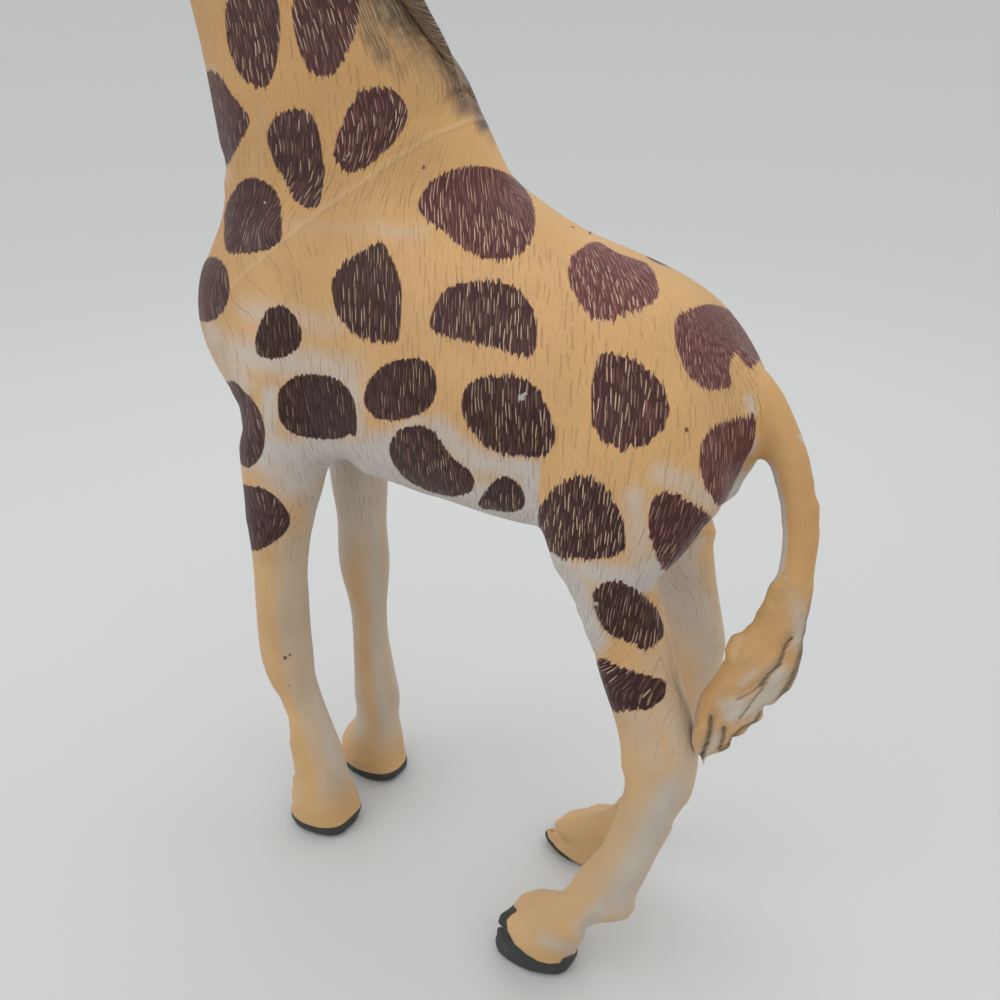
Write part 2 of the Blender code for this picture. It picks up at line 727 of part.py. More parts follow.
def main():
    clear_scene()
    yellow = finish_material("vinyl_yellow", vinyl_yellow, satin)
    cream = finish_material("vinyl_cream", vinyl_cream, satin)
    brown = finish_material("spot_brown", spot_brown, satin)
    mane_paint = finish_material("mane_brown", mane_brown, matt)
    black = finish_material("hoof_black", hoof_black, matt)
    glossy = finish_material("eye_black", eye_black, wet)

    sculpt = sculpted_skin()

    # The neck's seam rises from the chest to the withers, as the moulding line in the vinyl does.
    seam_way = (neck_point(*withers_shares) - neck_point(*chest_shares)).normalized()
    neck_up = Vector((-seam_way.z, 0, seam_way.x))
    neck_seam = neck_point(*neck_seam_shares)
    throat, nape = neck_point(*throat_shares), neck_point(*nape_shares)
    head_way = Vector(((throat - nape).z, 0, -(throat - nape).x)).normalized()
    head_seam = (throat + nape) / 2
    rearward = Vector((1, 0, 0))
    flank_seam = Vector((flank_x, 0, body_z(0.45)))
    half_gap = seam_gap / 2

    torso = part_between(sculpt, "torso", [(neck_seam - neck_up * half_gap, neck_up),
                                           (flank_seam - rearward * half_gap, rearward)])
    hindquarters = part_between(sculpt, "hindquarters", [(flank_seam + rearward * half_gap, -rearward)])
    neck = part_between(sculpt, "neck", [(neck_seam + neck_up * half_gap, -neck_up),
                                         (head_seam - head_way * half_gap, head_way)])
    head = part_between(sculpt, "head", [(head_seam + head_way * half_gap, -head_way)])

    # The legs leave the trunk on level planes.
    foot_top = sole_thickness + seam_gap
    belly_x = wheelbase / 2
    front_x, back_x = belly_x - body_length, belly_x + body_length
    legs = []
    for name, side, host, height, peg_x, peg_y in (
            ("fore_leg_left", side_left, torso, fore_leg_height, 0, fore_stance / 2),
            ("fore_leg_right", side_right, torso, fore_leg_height, 0, fore_stance / 2),
            ("hind_leg_left", side_left, hindquarters, hind_leg_height, thigh_x, hind_left_out),
            ("hind_leg_right", side_right, hindquarters, hind_leg_height,
             thigh_x - right_haunch_lead, hind_right_out)):
        low_x, high_x = (front_x, belly_x) if host is torso else (belly_x, back_x)
        low_y, high_y = sorted((0, side * overrun))
        box = (Vector((low_x, low_y, foot_top)), Vector((high_x, high_y, height - half_gap)))
        leg = part_between(sculpt, name, [], [box])
        for trunk in (torso, hindquarters):
            clearing = block("clearing", Vector((low_x, low_y, -overrun)),
                             Vector((high_x, high_y, height + half_gap)))
            combine(trunk, clearing, "DIFFERENCE")
        add_plug(leg, host, Vector((peg_x, side * peg_y, height)), Vector((0, 0, 1)),
                 leg_peg_length, leg_peg_radius)
        legs.append(leg)

    add_plug(neck, torso, neck_seam, -neck_up, neck_peg_length, neck_peg_radius)
    add_plug(head, neck, head_seam, -head_way, head_peg_length, head_peg_radius)
    add_plug(hindquarters, torso, flank_seam, -rearward, neck_peg_length, neck_peg_radius)

    whole_tail = add_object("whole_tail", path_skin("whole_tail", tail_rows(), tail_sides, 3))
    combine(hindquarters, grown_copy(whole_tail), "DIFFERENCE")
    dock_end, dock_before = [Vector(row[:3]) for row in tail_rows()[8:6:-1]]
    tail_way = (dock_end - dock_before).normalized()
    tail = part_between(whole_tail, "tail", [(dock_end - tail_way * half_gap, tail_way)])
    tuft = part_between(whole_tail, "tail_tuft", [(dock_end + tail_way * half_gap, -tail_way)])
    add_plug(tail, tuft, dock_end, tail_way, tail_peg_length, tail_peg_radius)
    combine(tuft, grown_copy(legs[2]), "DIFFERENCE")
    discard(whole_tail)

    mane = mane_strip(mane_paint)
    combine(mane, grown_copy(neck), "DIFFERENCE")
    combine(mane, half_space("cutter", neck_seam + neck_up * half_gap, -neck_up), "DIFFERENCE")
    combine(mane, half_space("cutter", head_seam - head_way * half_gap, head_way), "DIFFERENCE")

    trims = []
    for word, side in (("left", side_left), ("right", side_right)):
        trims.append(ear("ear_" + word, side, yellow))
        trims.append(horn("horn_" + word, side, brown))
        trims.append(eye("eye_" + word, side, glossy))
    for trim in trims:
        combine(head, grown_copy(trim), "DIFFERENCE")

    soles = []
    hind_left_x = wheelbase + left_sole_back
    hind_right_x = wheelbase - right_hoof_lead - right_sole_lead
    for name, side, hoof_x, hoof_out, length in (
            ("hoof_sole_fore_left", side_left, left_sole_back, fore_stance / 2, fore_hoof_length),
            ("hoof_sole_fore_right", side_right, -right_sole_lead, fore_stance / 2, fore_hoof_length),
            ("hoof_sole_hind_left", side_left, hind_left_x, hind_left_out, hind_hoof_length),
            ("hoof_sole_hind_right", side_right, hind_right_x, hind_right_out, hind_hoof_length)):
        centre = Vector((hoof_x, side * (hoof_out + sole_out)))
        soles.append(hoof_sole(name, centre, length, black))

    discard(sculpt)
    for moulding in (torso, hindquarters, neck, head, tail):
        moulding.data.materials.clear()
        moulding.data.materials.append(yellow)
    for moulding in (*legs, tuft):
        moulding.data.materials.clear()
        moulding.data.materials.append(cream)
    pieces = [torso, hindquarters, neck, head, *legs, tail, tuft, mane, *trims, *soles]
    centre_over_origin(pieces)
    for piece in pieces:
        piece.data.shade_smooth()
        piece.data.set_sharp_from_angle(angle=math.radians(40))


main()
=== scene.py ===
import math

import bmesh
import bpy
import numpy as np
from mathutils import Matrix, Vector


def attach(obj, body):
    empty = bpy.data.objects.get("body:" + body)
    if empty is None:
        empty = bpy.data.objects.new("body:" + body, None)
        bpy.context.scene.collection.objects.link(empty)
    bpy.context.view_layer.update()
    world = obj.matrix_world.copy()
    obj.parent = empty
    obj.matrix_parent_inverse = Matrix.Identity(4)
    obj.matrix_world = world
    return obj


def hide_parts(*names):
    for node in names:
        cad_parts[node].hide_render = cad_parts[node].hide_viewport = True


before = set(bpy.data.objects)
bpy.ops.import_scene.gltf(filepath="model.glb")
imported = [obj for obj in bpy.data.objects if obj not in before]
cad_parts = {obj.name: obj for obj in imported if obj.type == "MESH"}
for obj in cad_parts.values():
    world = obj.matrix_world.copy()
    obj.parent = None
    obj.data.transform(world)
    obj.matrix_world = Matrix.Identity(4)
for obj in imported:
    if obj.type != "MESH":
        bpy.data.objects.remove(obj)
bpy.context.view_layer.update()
print("frame loaded:", len(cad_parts), "nodes")

mm = 0.001
planOrigin = np.array((26.94, 0.72, 0.0))  # millimetres from the frame's origin to the fore hooves

view = {
    "place": (0.12440, -0.15497, 0.21400),
    "turn": 33.7,  # degrees from +Y towards -X
    "tilt": 30.0,  # degrees down
    "focal": 1062.0,  # in pixels of a 1000 pixel wide frame
}
turn, tilt = math.radians(view["turn"]), math.radians(view["tilt"])
level = Vector((-math.sin(turn), math.cos(turn), 0))
sideWay = Vector((math.cos(turn), math.sin(turn), 0))
lookWay = level * math.cos(tilt) - Vector((0, 0, math.sin(tilt)))
upWay = level * math.sin(tilt) + Vector((0, 0, math.cos(tilt)))


def smooth(low, high, value):
    t = np.clip((value - low) / (high - low), 0, 1)
    return t * t * (3 - 2 * t)


def addObject(name, mesh):
    thing = bpy.data.objects.new(name, mesh)
    bpy.context.scene.collection.objects.link(thing)
    return thing


def removeObject(thing):
    mesh = thing.data
    bpy.data.objects.remove(thing, do_unlink=True)
    bpy.data.meshes.remove(mesh)


def pointsOf(mesh):
    co = np.empty(len(mesh.vertices) * 3)
    mesh.vertices.foreach_get("co", co)
    return co.reshape(-1, 3)


def normalsOf(mesh):
    way = np.empty(len(mesh.vertices) * 3)
    mesh.vertex_normals.foreach_get("vector", way)
    return way.reshape(-1, 3)


def movePoints(mesh, co):
    mesh.vertices.foreach_set("co", np.ascontiguousarray(co, float).ravel())
    mesh.update()


def edgesOf(mesh):
    pairs = np.empty(len(mesh.edges) * 2, int)
    mesh.edges.foreach_get("vertices", pairs)
    return pairs.reshape(-1, 2)


def applied(thing):
    bpy.context.view_layer.update()
    graph = bpy.context.evaluated_depsgraph_get()
    mesh = bpy.data.meshes.new_from_object(thing.evaluated_get(graph))
    removeObject(thing)
    return mesh


def remeshed(mesh, voxel):
    thing = addObject("work", mesh)
    voxels = thing.modifiers.new("voxels", "REMESH")
    voxels.mode = "VOXEL"
    voxels.voxel_size = voxel
    return applied(thing)


def subdivided(mesh):
    thing = addObject("work", mesh)
    finer = thing.modifiers.new("finer", "SUBSURF")
    finer.levels = finer.render_levels = 1
    return applied(thing)


def relax(co, edges, times, share=0.5):
    # plain Laplacian smoothing
    count = np.bincount(edges.ravel(), minlength=len(co))[:, None]
    for _ in range(times):
        total = np.empty_like(co)
        for axis in range(co.shape[1]):
            near = np.bincount(edges[:, 0], co[edges[:, 1], axis], len(co))
            far = np.bincount(edges[:, 1], co[edges[:, 0], axis], len(co))
            total[:, axis] = near + far
        co = co + share * (total / count - co)
    return co


def joinedNodes(names, swell, ease=None):
    # the named CAD solids in one mesh, welded and swollen a little so that kerfs close
    work = bmesh.new()
    for name in names:
        part = bmesh.new()
        part.from_mesh(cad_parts[name].data)
        bmesh.ops.remove_doubles(part, verts=part.verts, dist=1e-6)
        part.normal_update()
        for vertex in part.verts:
            vertex.co += vertex.normal * swell
            if ease:
                vertex.co += ease(name, vertex.co)
        held = bpy.data.meshes.new("held")
        part.to_mesh(held)
        part.free()
        work.from_mesh(held)
        bpy.data.meshes.remove(held)
    mesh = bpy.data.meshes.new("joined")
    work.to_mesh(mesh)
    work.free()
    return mesh


def keepOuter(mesh):
    # keeps the island with the most vertices
    work = bmesh.new()
    work.from_mesh(mesh)
    work.verts.ensure_lookup_table()
    seen = np.zeros(len(work.verts), bool)
    best = []
    for start in work.verts:
        if seen[start.index]:
            continue
        seen[start.index] = True
        island, front = [start], [start]
        while front:
            vertex = front.pop()
            for edge in vertex.link_edges:
                other = edge.other_vert(vertex)
                if not seen[other.index]:
                    seen[other.index] = True
                    island.append(other)
                    front.append(other)
        if len(island) > len(best):
            best = island
    kept = set(best)
    bmesh.ops.delete(work, geom=[v for v in work.verts if v not in kept], context="VERTS")
    work.to_mesh(mesh)
    work.free()


def seen(points):
    # frame pixels and depth in millimetres of plan points
    offset = points - (np.array(view["place"]) / mm + planOrigin)
    depth = offset @ np.array(lookWay)
    across = 500 + view["focal"] * (offset @ np.array(sideWay)) / depth
    down = 500 - view["focal"] * (offset @ np.array(upWay)) / depth
    return across, down, depth


def lineDistance(x, y, line):
    # distance from each point to an open polyline
    best = np.full(len(x), 1e9)
    for (ax, ay), (bx, by) in zip(line, line[1:]):
        dx, dy = bx - ax, by - ay
        t = np.clip(((x - ax) * dx + (y - ay) * dy) / (dx * dx + dy * dy + 1e-12), 0, 1)
        best = np.minimum(best, np.hypot(x - ax - t * dx, y - ay - t * dy))
    return best


def insideOf(x, y, line):
    # even-odd test against a closed polyline
    inside = np.zeros(len(x), bool)
    for (ax, ay), (bx, by) in zip(line, line[1:] + line[:1]):
        crosses = (ay > y) != (by > y)
        with np.errstate(divide="ignore", invalid="ignore"):
            at = ax + (y - ay) * (bx - ax) / (by - ay)
        inside ^= crosses & (x < at)
    return inside


def rounded(line, times=2):
    # cuts the corners of a closed outline
    for _ in range(times):
        made = []
        for (ax, ay), (bx, by) in zip(line, line[1:] + line[:1]):
            made += [(ax * 0.75 + bx * 0.25, ay * 0.75 + by * 0.25),
                     (ax * 0.25 + bx * 0.75, ay * 0.25 + by * 0.75)]
        line = made
    return line


neckSeam = ((10.52, 0, 155.99), (-0.5942, 0, 0.8044))
headSeam = ((-19.86, 0, 257.85), (-0.6746, 0, 0.7384))
flankSeam = ((71.25, 0, 130), (1, 0, 0))
tailRoot = ((99.6, 0, 143.6), (0.62, 0, -0.785))
soleTop, foreCut, hindCut, legSplit = 3.65, 100.0, 106.0, 34.0
tuftTop = ((111.3, -7.8, 111.6), (-0.1, -0.1, -0.99))


tailPath = [(93, 0, 148), (98.1, -0.3, 144.4), (101.5, -0.8, 141), (104.9, -1.6, 135.8),
            (106.9, -2.4, 132), (108.9, -3.6, 128), (110.4, -5.1, 122.4), (111.1, -6.4, 116.8),
            (111.2, -7.7, 111)]
tuftPath = [(111.3, -8.2, 111), (109.5, -9.6, 100), (105.8, -11.2, 90), (102.2, -12.4, 80),
            (101.2, -12.8, 73)]


def tailDistance(points, path=tailPath):
    path = np.array(path, float)
    best = np.full(len(points), 1e9)
    for start, end in zip(path, path[1:]):
        step = end - start
        t = np.clip((points - start) @ step / (step @ step), 0, 1)
        best = np.minimum(best, np.linalg.norm(points - start - t[:, None] * step, axis=1))
    return best


def setFloat(mesh, name, values):
    values = np.broadcast_to(np.asarray(values, np.float32), len(mesh.vertices))
    mesh.attributes.new(name, "FLOAT", "POINT").data.foreach_set("value", np.ascontiguousarray(values))


def floatOf(mesh, name):
    values = np.empty(len(mesh.vertices), np.float32)
    mesh.attributes[name].data.foreach_get("value", values)
    return values


def ahead(points, plane):
    return (points - np.array(plane[0])) @ np.array(plane[1])


poll, headPitch = np.array((-22.64, 0, 284.02)), math.radians(36)
forward = np.array((-math.cos(headPitch), 0, -math.sin(headPitch)))
crown = np.array((-math.sin(headPitch), 0, math.cos(headPitch)))


def headPlace(along, up, side=0.0):
    # along and up the head in shares of its length, depth and width
    return poll + forward * along * 50 + crown * up * 23 + np.array((0, side * 20, 0))


face = {
    "mouth": [(1.08, -0.25), (0.98, -0.285), (0.88, -0.31), (0.78, -0.325), (0.70, -0.36)],
    "eye": (0.29, 0.17, 0.46),
    "nostril": (0.965, -0.055, 0.20),
    "mouthDepth": 0.55, "nostrilDepth": 0.9, "lid": 0.75, "brow": 0.8,
    "muzzleNarrower": 0.24,
}
toes = {"fore_left": (0.8, -11.4), "fore_right": (-0.4, 11.4),
        "hind_left": (68.8, -14.5), "hind_right": (63.6, 18.2)}


def near(plan, place, size):
    return np.exp(-((plan - np.array(place)) ** 2).sum(1) / size ** 2)


def mouthDistance(plan):
    along, up = (plan - poll) @ forward, (plan - poll) @ crown
    away = lineDistance(along, up, [(a * 50, u * 23) for a, u in face["mouth"]])
    return np.where((along > 20) & (plan[:, 2] > 236), away, 30)


def sculptHead(plan, way):
    push = -face["mouthDepth"] * np.exp(-(mouthDistance(plan) / 0.6) ** 2)
    for side in (-1, 1):
        eye = headPlace(face["eye"][0], face["eye"][1], face["eye"][2] * side)
        away = np.linalg.norm(plan - eye, axis=1)
        above = 1 + 0.5 * np.tanh((plan - eye) @ crown / 1.5)
        push += face["lid"] * above * np.exp(-((away - 3.25) / 0.65) ** 2)
        push -= 0.5 * np.exp(-((away - 5.6) / 1.3) ** 2)
        place = headPlace(face["nostril"][0], face["nostril"][1], face["nostril"][2] * side)
        push += 0.35 * near(plan, place, 2.6) - face["nostrilDepth"] * near(plan, place, 1.15)
        push += face["brow"] * near(plan, headPlace(0.20, 0.33, 0.36 * side), 3.6)
        push += 0.6 * near(plan, headPlace(0.42, -0.30, 0.50 * side), 4.5)  # cheek
        push -= 0.5 * near(plan, headPlace(0.62, -0.05, 0.42 * side), 4.0)
    narrower = 1 - face["muzzleNarrower"] * smooth(0.30, 0.80, (plan - poll) @ forward / 50)
    onHead = smooth(236, 246, plan[:, 2])
    moved = plan + way * push[:, None]
    moved[:, 1] *= 1 - (1 - narrower) * onHead
    return moved


def sculptLegs(plan, way):
    push = np.zeros(len(plan))
    low = smooth(9, 4.5, plan[:, 2])
    inward = np.zeros(len(plan))
    for name, (x, y) in toes.items():
        side = -1 if y < 0 else 1
        toe = np.array((-math.cos(0.17), side * math.sin(0.17)))
        offset = plan[:, :2] - (x, y)
        toeReach = offset @ toe
        beside = np.abs(offset[:, 0] * toe[1] - offset[:, 1] * toe[0])
        here = (np.hypot(offset[:, 0], offset[:, 1]) < 16) & (plan[:, 2] < 12)
        inward += np.exp(-(beside / 0.95) ** 2) * smooth(3, 7.5, toeReach) * low * here
    nape = np.interp(plan[:, 2], (174, 181, 189, 195, 203, 210, 240, 252),
        (0, 0.15, 1.6, 2.1, 2.0, 0.9, 0.8, 0))
    push += nape * smooth(0.1, 0.85, way[:, 0]) * (plan[:, 0] < 40)
    shin = smooth(90, 80, plan[:, 2]) * smooth(14, 24, plan[:, 2])
    push += 0.35 * shin * np.sin(plan[:, 2] * 0.21) * smooth(0.5, 0.9, np.abs(way[:, 1]))
    moved = plan + way * push[:, None]
    moved[:, :2] -= way[:, :2] * 1.25 * inward[:, None]
    return moved


fit = [  # eases the skin to the outline: line, shift right and down, width (frame pixels), where
    ([(180, -60), (198, 77), (214, 170)], 8.5, 0, 20, "front"), ([(214, 160),
        (214, 165)], 3, 0, 12, "front"),
    ([(216, 198), (212, 250)], 5.5, 0, 14, "front"), ([(449, 58), (453, 66)], 5, 0, 13, "front"),
    ([(236, 410), (237, 425)], 7, 0, 15, "front"), ([(440, 508), (540, 530)], 0, -3, 13, "belly"),
    ([(325, 476), (345, 474)], 0, -12, 13, "belly"), ([(728, 495), (718, 512)], 7, 0, 15, "haunch"),
    ([(709, 540), (716, 640)], 4, 0, 11, "farHind"), ([(561, 585), (569, 600)], 5, 0, 12, "nearHind"),
    ([(589, 635), (592, 645)], -4, 0, 12, "nearHind"), ([(606, 665), (620, 710),
        (625, 765)], -4.5, 0, 11, "nearHind"),
    ([(679, 808), (676, 818)], -5, 0, 9, "nearHind"),
    ([(624, 905), (620, 914)], 8, 3, 9, "nearHind"), ([(598, 926), (592, 932)], -7, -8, 9, "nearHind"),
    ([(563, 879), (572, 880)], 0, 12, 11, "nearHind"), ([(549, 884), (551, 888)], 0, 3, 7, "nearHind"),
    ([(513, 900), (511, 908)], 4, 0, 7, "nearHind"), ([(505, 914), (504, 922)], -8, 0, 6, "nearToe"),
    ([(590, 797), (602, 795)], 0, 10, 11, "farHind"), ([(616, 788), (624, 780)], 0, 14, 10, "farHind"),
    ([(563, 824), (565, 832)], -10, 1, 9, "farHind"), ([(574, 804), (578, 804)], 1, 4, 8, "farHind"),
    ([(278, 700), (284, 715)], 4, 0, 12, "nearFore"), ([(292, 745), (297, 768)], -4, 0, 9, "nearFore"),
    ([(351, 782), (358, 802)], 6.5, 0, 9, "nearFore"), ([(290, 786), (290, 800)], 3, 0, 6, "nearFore"),
    ([(816, 508), (816, 545), (812, 575), (808, 600), (804, 630)], 3.8, 0, 10, "tail"),
    ([(801, 649), (793, 670)], 4.5, 0, 10, "tail"), ([(785, 700), (776, 710)], -3.5, 0, 8, "tail"),
    ([(765, 722), (738, 737)], -1, 1, 8, "tail"), ([(724, 738), (719, 752)], 9, 1, 7, "tail"),
    ([(776, 588), (764, 605)], -6, 0, 10, "tail"), ([(757, 612), (742, 630)], -5, -1, 9, "tail"),
    ([(744, 640), (738, 652)], -11, -2, 10, "tail"), ([(702, 733), (702, 750)], -8, 0, 9, "tail"),
    ([(707, 521), (709, 529)], 6, 0, 9, "farHind"), ([(556, 826), (552, 836)], -5, -4, 8, "farHind"),
    ([(504, 929), (506, 930)], -6, -4, 6, "nearToe"),
]


def fitPlaces(plan, tailShare):
    x, y, z = plan.T
    hind, trunkShare = (x > legSplit) & (z < hindCut + 12), 1 - tailShare
    return {"front": (x < 24) * smooth(92, 100, z), "belly": (x < 80) * smooth(88, 98,
        z) * smooth(134, 122, z),
            "haunch": trunkShare * (y < 4) * (x > 70) * smooth(98, 106, z),
                "farHind": trunkShare * hind * (y > 1),
            "nearHind": trunkShare * hind * (y < 0), "nearToe": hind * (y < 0) * smooth(15, 10, z),
            "nearFore": (x < legSplit) * (y < 0) * (z < 100), "tail": tailShare * smooth(134, 127, z)}


def fitOutline(plan, tailShare):
    # the body's ease is mirrored, a limb's is its own
    mirror = plan * (1, -1, 1)
    px, py, depth = seen(plan)
    mx, my, mirrorDepth = seen(mirror)
    moved, places = plan.copy(), fitPlaces(plan, tailShare)
    for line, right, down, width, where in fit:
        shift = (right * np.array(sideWay) - down * np.array(upWay)) / view["focal"]
        own = np.exp(-(lineDistance(px, py, line) / width) ** 2) * places[where]
        if where in ("front", "belly"):
            other = np.exp(-(lineDistance(mx, my, line) / width) ** 2) * places[where]
            total = np.maximum(1, own + other)
            moved += (own * depth / total)[:, None] * shift
            moved += (other * mirrorDepth / total)[:, None] * shift * (1, -1, 1)
        else:
            moved += (own * depth)[:, None] * shift
    return moved


def joinedTo(mesh, seed, allowed):
    # the points that can be reached from a seed without leaving the allowed ones
    edges = edgesOf(mesh)
    edges = edges[allowed[edges].all(1)]
    beside = {}
    for a, b in edges.tolist():
        beside.setdefault(a, []).append(b)
        beside.setdefault(b, []).append(a)
    found, front = {seed}, [seed]
    while front:
        front = [n for f in front for n in beside.get(f, ()) if n not in found and not found.add(n)]
    inside = np.zeros(len(allowed), bool)
    inside[list(found)] = True
    return inside


def refined(mesh, chosen):
    # halves the edges of the chosen faces' points
    work = bmesh.new()
    work.from_mesh(mesh)
    work.verts.ensure_lookup_table()
    edges = {e for i in np.flatnonzero(chosen) for e in work.verts[i].link_edges}
    bmesh.ops.subdivide_edges(work, edges=list(edges), cuts=1, use_grid_fill=True)
    work.to_mesh(mesh)
    work.free()
    return mesh


tuft = {
    "grooves": [  # frame pixels, width and depth in millimetres
        ([(791, 638), (785, 647), (779, 664), (768, 675), (760, 685), (748, 693), (737, 699)], 0.8, 1.0),
        ([(767, 682), (757, 695), (748, 707), (740, 718), (738, 726)], 0.6, 0.55),
        ([(711, 713), (710, 732), (706, 746), (699, 762)], 0.8, 1.0),
        ([(724, 726), (723, 739), (719, 749)], 0.7, 0.8),
        ([(742, 634), (739, 645), (735, 655)], 0.9, 0.6),
        ([(783, 577), (778, 590), (773, 600)], 0.8, 0.5),
        ([(804, 620), (801, 645), (793, 668), (781, 690)], 0.8, 0.4),
        ([(762, 640), (752, 662), (735, 682), (722, 700)], 1.0, 0.3),
        ([(745, 668), (727, 690), (716, 708)], 0.8, 0.25)],
    "notches": [(767, 710, -0.7, 0.7, 1.0), (750, 725, -0.6, 0.8, 0.8), (733, 741, -0.6, 0.7, 0.6),
                (714, 759, -0.7, 0.6, 0.4)],  # frame pixels, way inwards, depth
    "front": 1.6,  # the tip hangs a little in front of the leg
    "apart": 3.2,  # held off the leg while the skin is made, then let back
}


def strandOf(plan):
    return plan[:, 0] * 0.75 - (plan[:, 2] - 90) * 0.62


def sculptTuft(plan, way, share):
    px, py, depth = seen(plan)
    push = np.zeros(len(plan))
    for line, width, deep in tuft["grooves"]:
        away = lineDistance(px, py, line) * depth / view["focal"]
        push -= 0.7 * deep * np.exp(-(away / width) ** 2)
    push += 0.10 * np.sin(strandOf(plan) * 2.1 + 1.2 * np.sin(plan[:, 2] * 0.17)) * smooth(
        113, 104, plan[:, 2])
    moved = plan + way * (push * share)[:, None]
    for x, y, across, rise, deep in tuft["notches"]:
        pull = deep * np.exp(-((px - x) ** 2 + (py - y) ** 2) / 6.0 ** 2) * share
        moved += pull[:, None] * (np.array(sideWay) * across + np.array(upWay) * rise)
    return moved


body = {
    "voxel": 1.25 * mm,
    "swell": 0.28 * mm,  # closes the kerfs between the CAD mouldings
    "rounds": 8,
    "regain": 0.13 * mm,  # given back after smoothing
}
skinNodes = ["torso", "hindquarters", "neck", "head", "fore_leg_left", "fore_leg_right",
             "hind_leg_left", "hind_leg_right", "tail", "tail_tuft", "hoof_sole_fore_left",
             "hoof_sole_fore_right", "hoof_sole_hind_left", "hoof_sole_hind_right"]


def heldApart(name, place):
    # keeps the tail tuft off the leg while the skin is made
    amount = float(smooth(100, 88, place.z / mm)) if name == "tail_tuft" else 0.0
    return Vector((tuft["apart"] * amount * mm, 0, 0))


def tailPoints(mesh, plan):
    # the points of the tail, reached from its tip while it is still held apart
    tip = tuftPath[-1] + np.array((tuft["apart"], 0, 0))
    own = np.where(plan[:, 2] > 112, tailDistance(plan) < 7.5, plan[:, 0] > 97)
    return joinedTo(mesh, int(np.argmin(np.linalg.norm(plan - tip, axis=1))), own & (plan[:, 2] < 134))


def bodySkin():
    mesh = remeshed(joinedNodes(skinNodes, body["swell"], heldApart), body["voxel"])
    keepOuter(mesh)
    movePoints(mesh, relax(pointsOf(mesh), edgesOf(mesh), body["rounds"]))
    mesh = subdivided(mesh)
    movePoints(mesh, relax(pointsOf(mesh), edgesOf(mesh), 2))
    plan = pointsOf(mesh) / mm + planOrigin
    mesh = refined(mesh, tailPoints(mesh, plan) & (plan[:, 2] < 118))
    plan = pointsOf(mesh) / mm + planOrigin
    onTail = tailPoints(mesh, plan).astype(float)
    print("tail points:", int(onTail.sum()))
    softer = relax(pointsOf(mesh), edgesOf(mesh), 2)
    softest = relax(softer, edgesOf(mesh), 26)
    low, collar = smooth(119, 117, plan[:, 2]) * onTail, onTail * np.exp(-((plan[:, 2] - 110.5) / 5.5) ** 2)
    co = pointsOf(mesh)
    co = co + low[:, None] * (softer - co)
    movePoints(mesh, co + collar[:, None] * (softest - co))
    co = pointsOf(mesh) - normalsOf(mesh) * (body["swell"] - body["regain"])
    plan = sculptHead(co / mm + planOrigin, normalsOf(mesh))
    plan = sculptLegs(plan, normalsOf(mesh))
    sole = plan[:, 2] < 0.4
    back, front = onTail * smooth(100, 88, plan[:, 2]), onTail * smooth(92, 78, plan[:, 2])
    plan -= back[:, None] * (tuft["apart"], 0, 0) + front[:, None] * np.array(lookWay) * tuft["front"]
    plan = fitOutline(plan, onTail)
    plan[:, 2] = np.where(sole, 0, np.maximum(plan[:, 2], 0))  # the soles stand flat
    movePoints(mesh, (plan - planOrigin) * mm)
    plan = sculptTuft(plan, normalsOf(mesh), onTail)
    over = np.maximum(plan[:, 0] - 114.2, 0) * onTail  # the tuft stays inside the moulding's box
    plan[:, 0] += 0.9 * np.tanh(over / 0.9) - over
    tip = (onTail * smooth(81, 76, plan[:, 2]))[:, None]
    plan += tip * (relax(plan, edgesOf(mesh), 12) - plan)
    movePoints(mesh, (plan - planOrigin) * mm)
    setFloat(mesh, "tailShare", onTail)
    return mesh


skin = bodySkin()
print("body skin:", len(skin.vertices), "points")


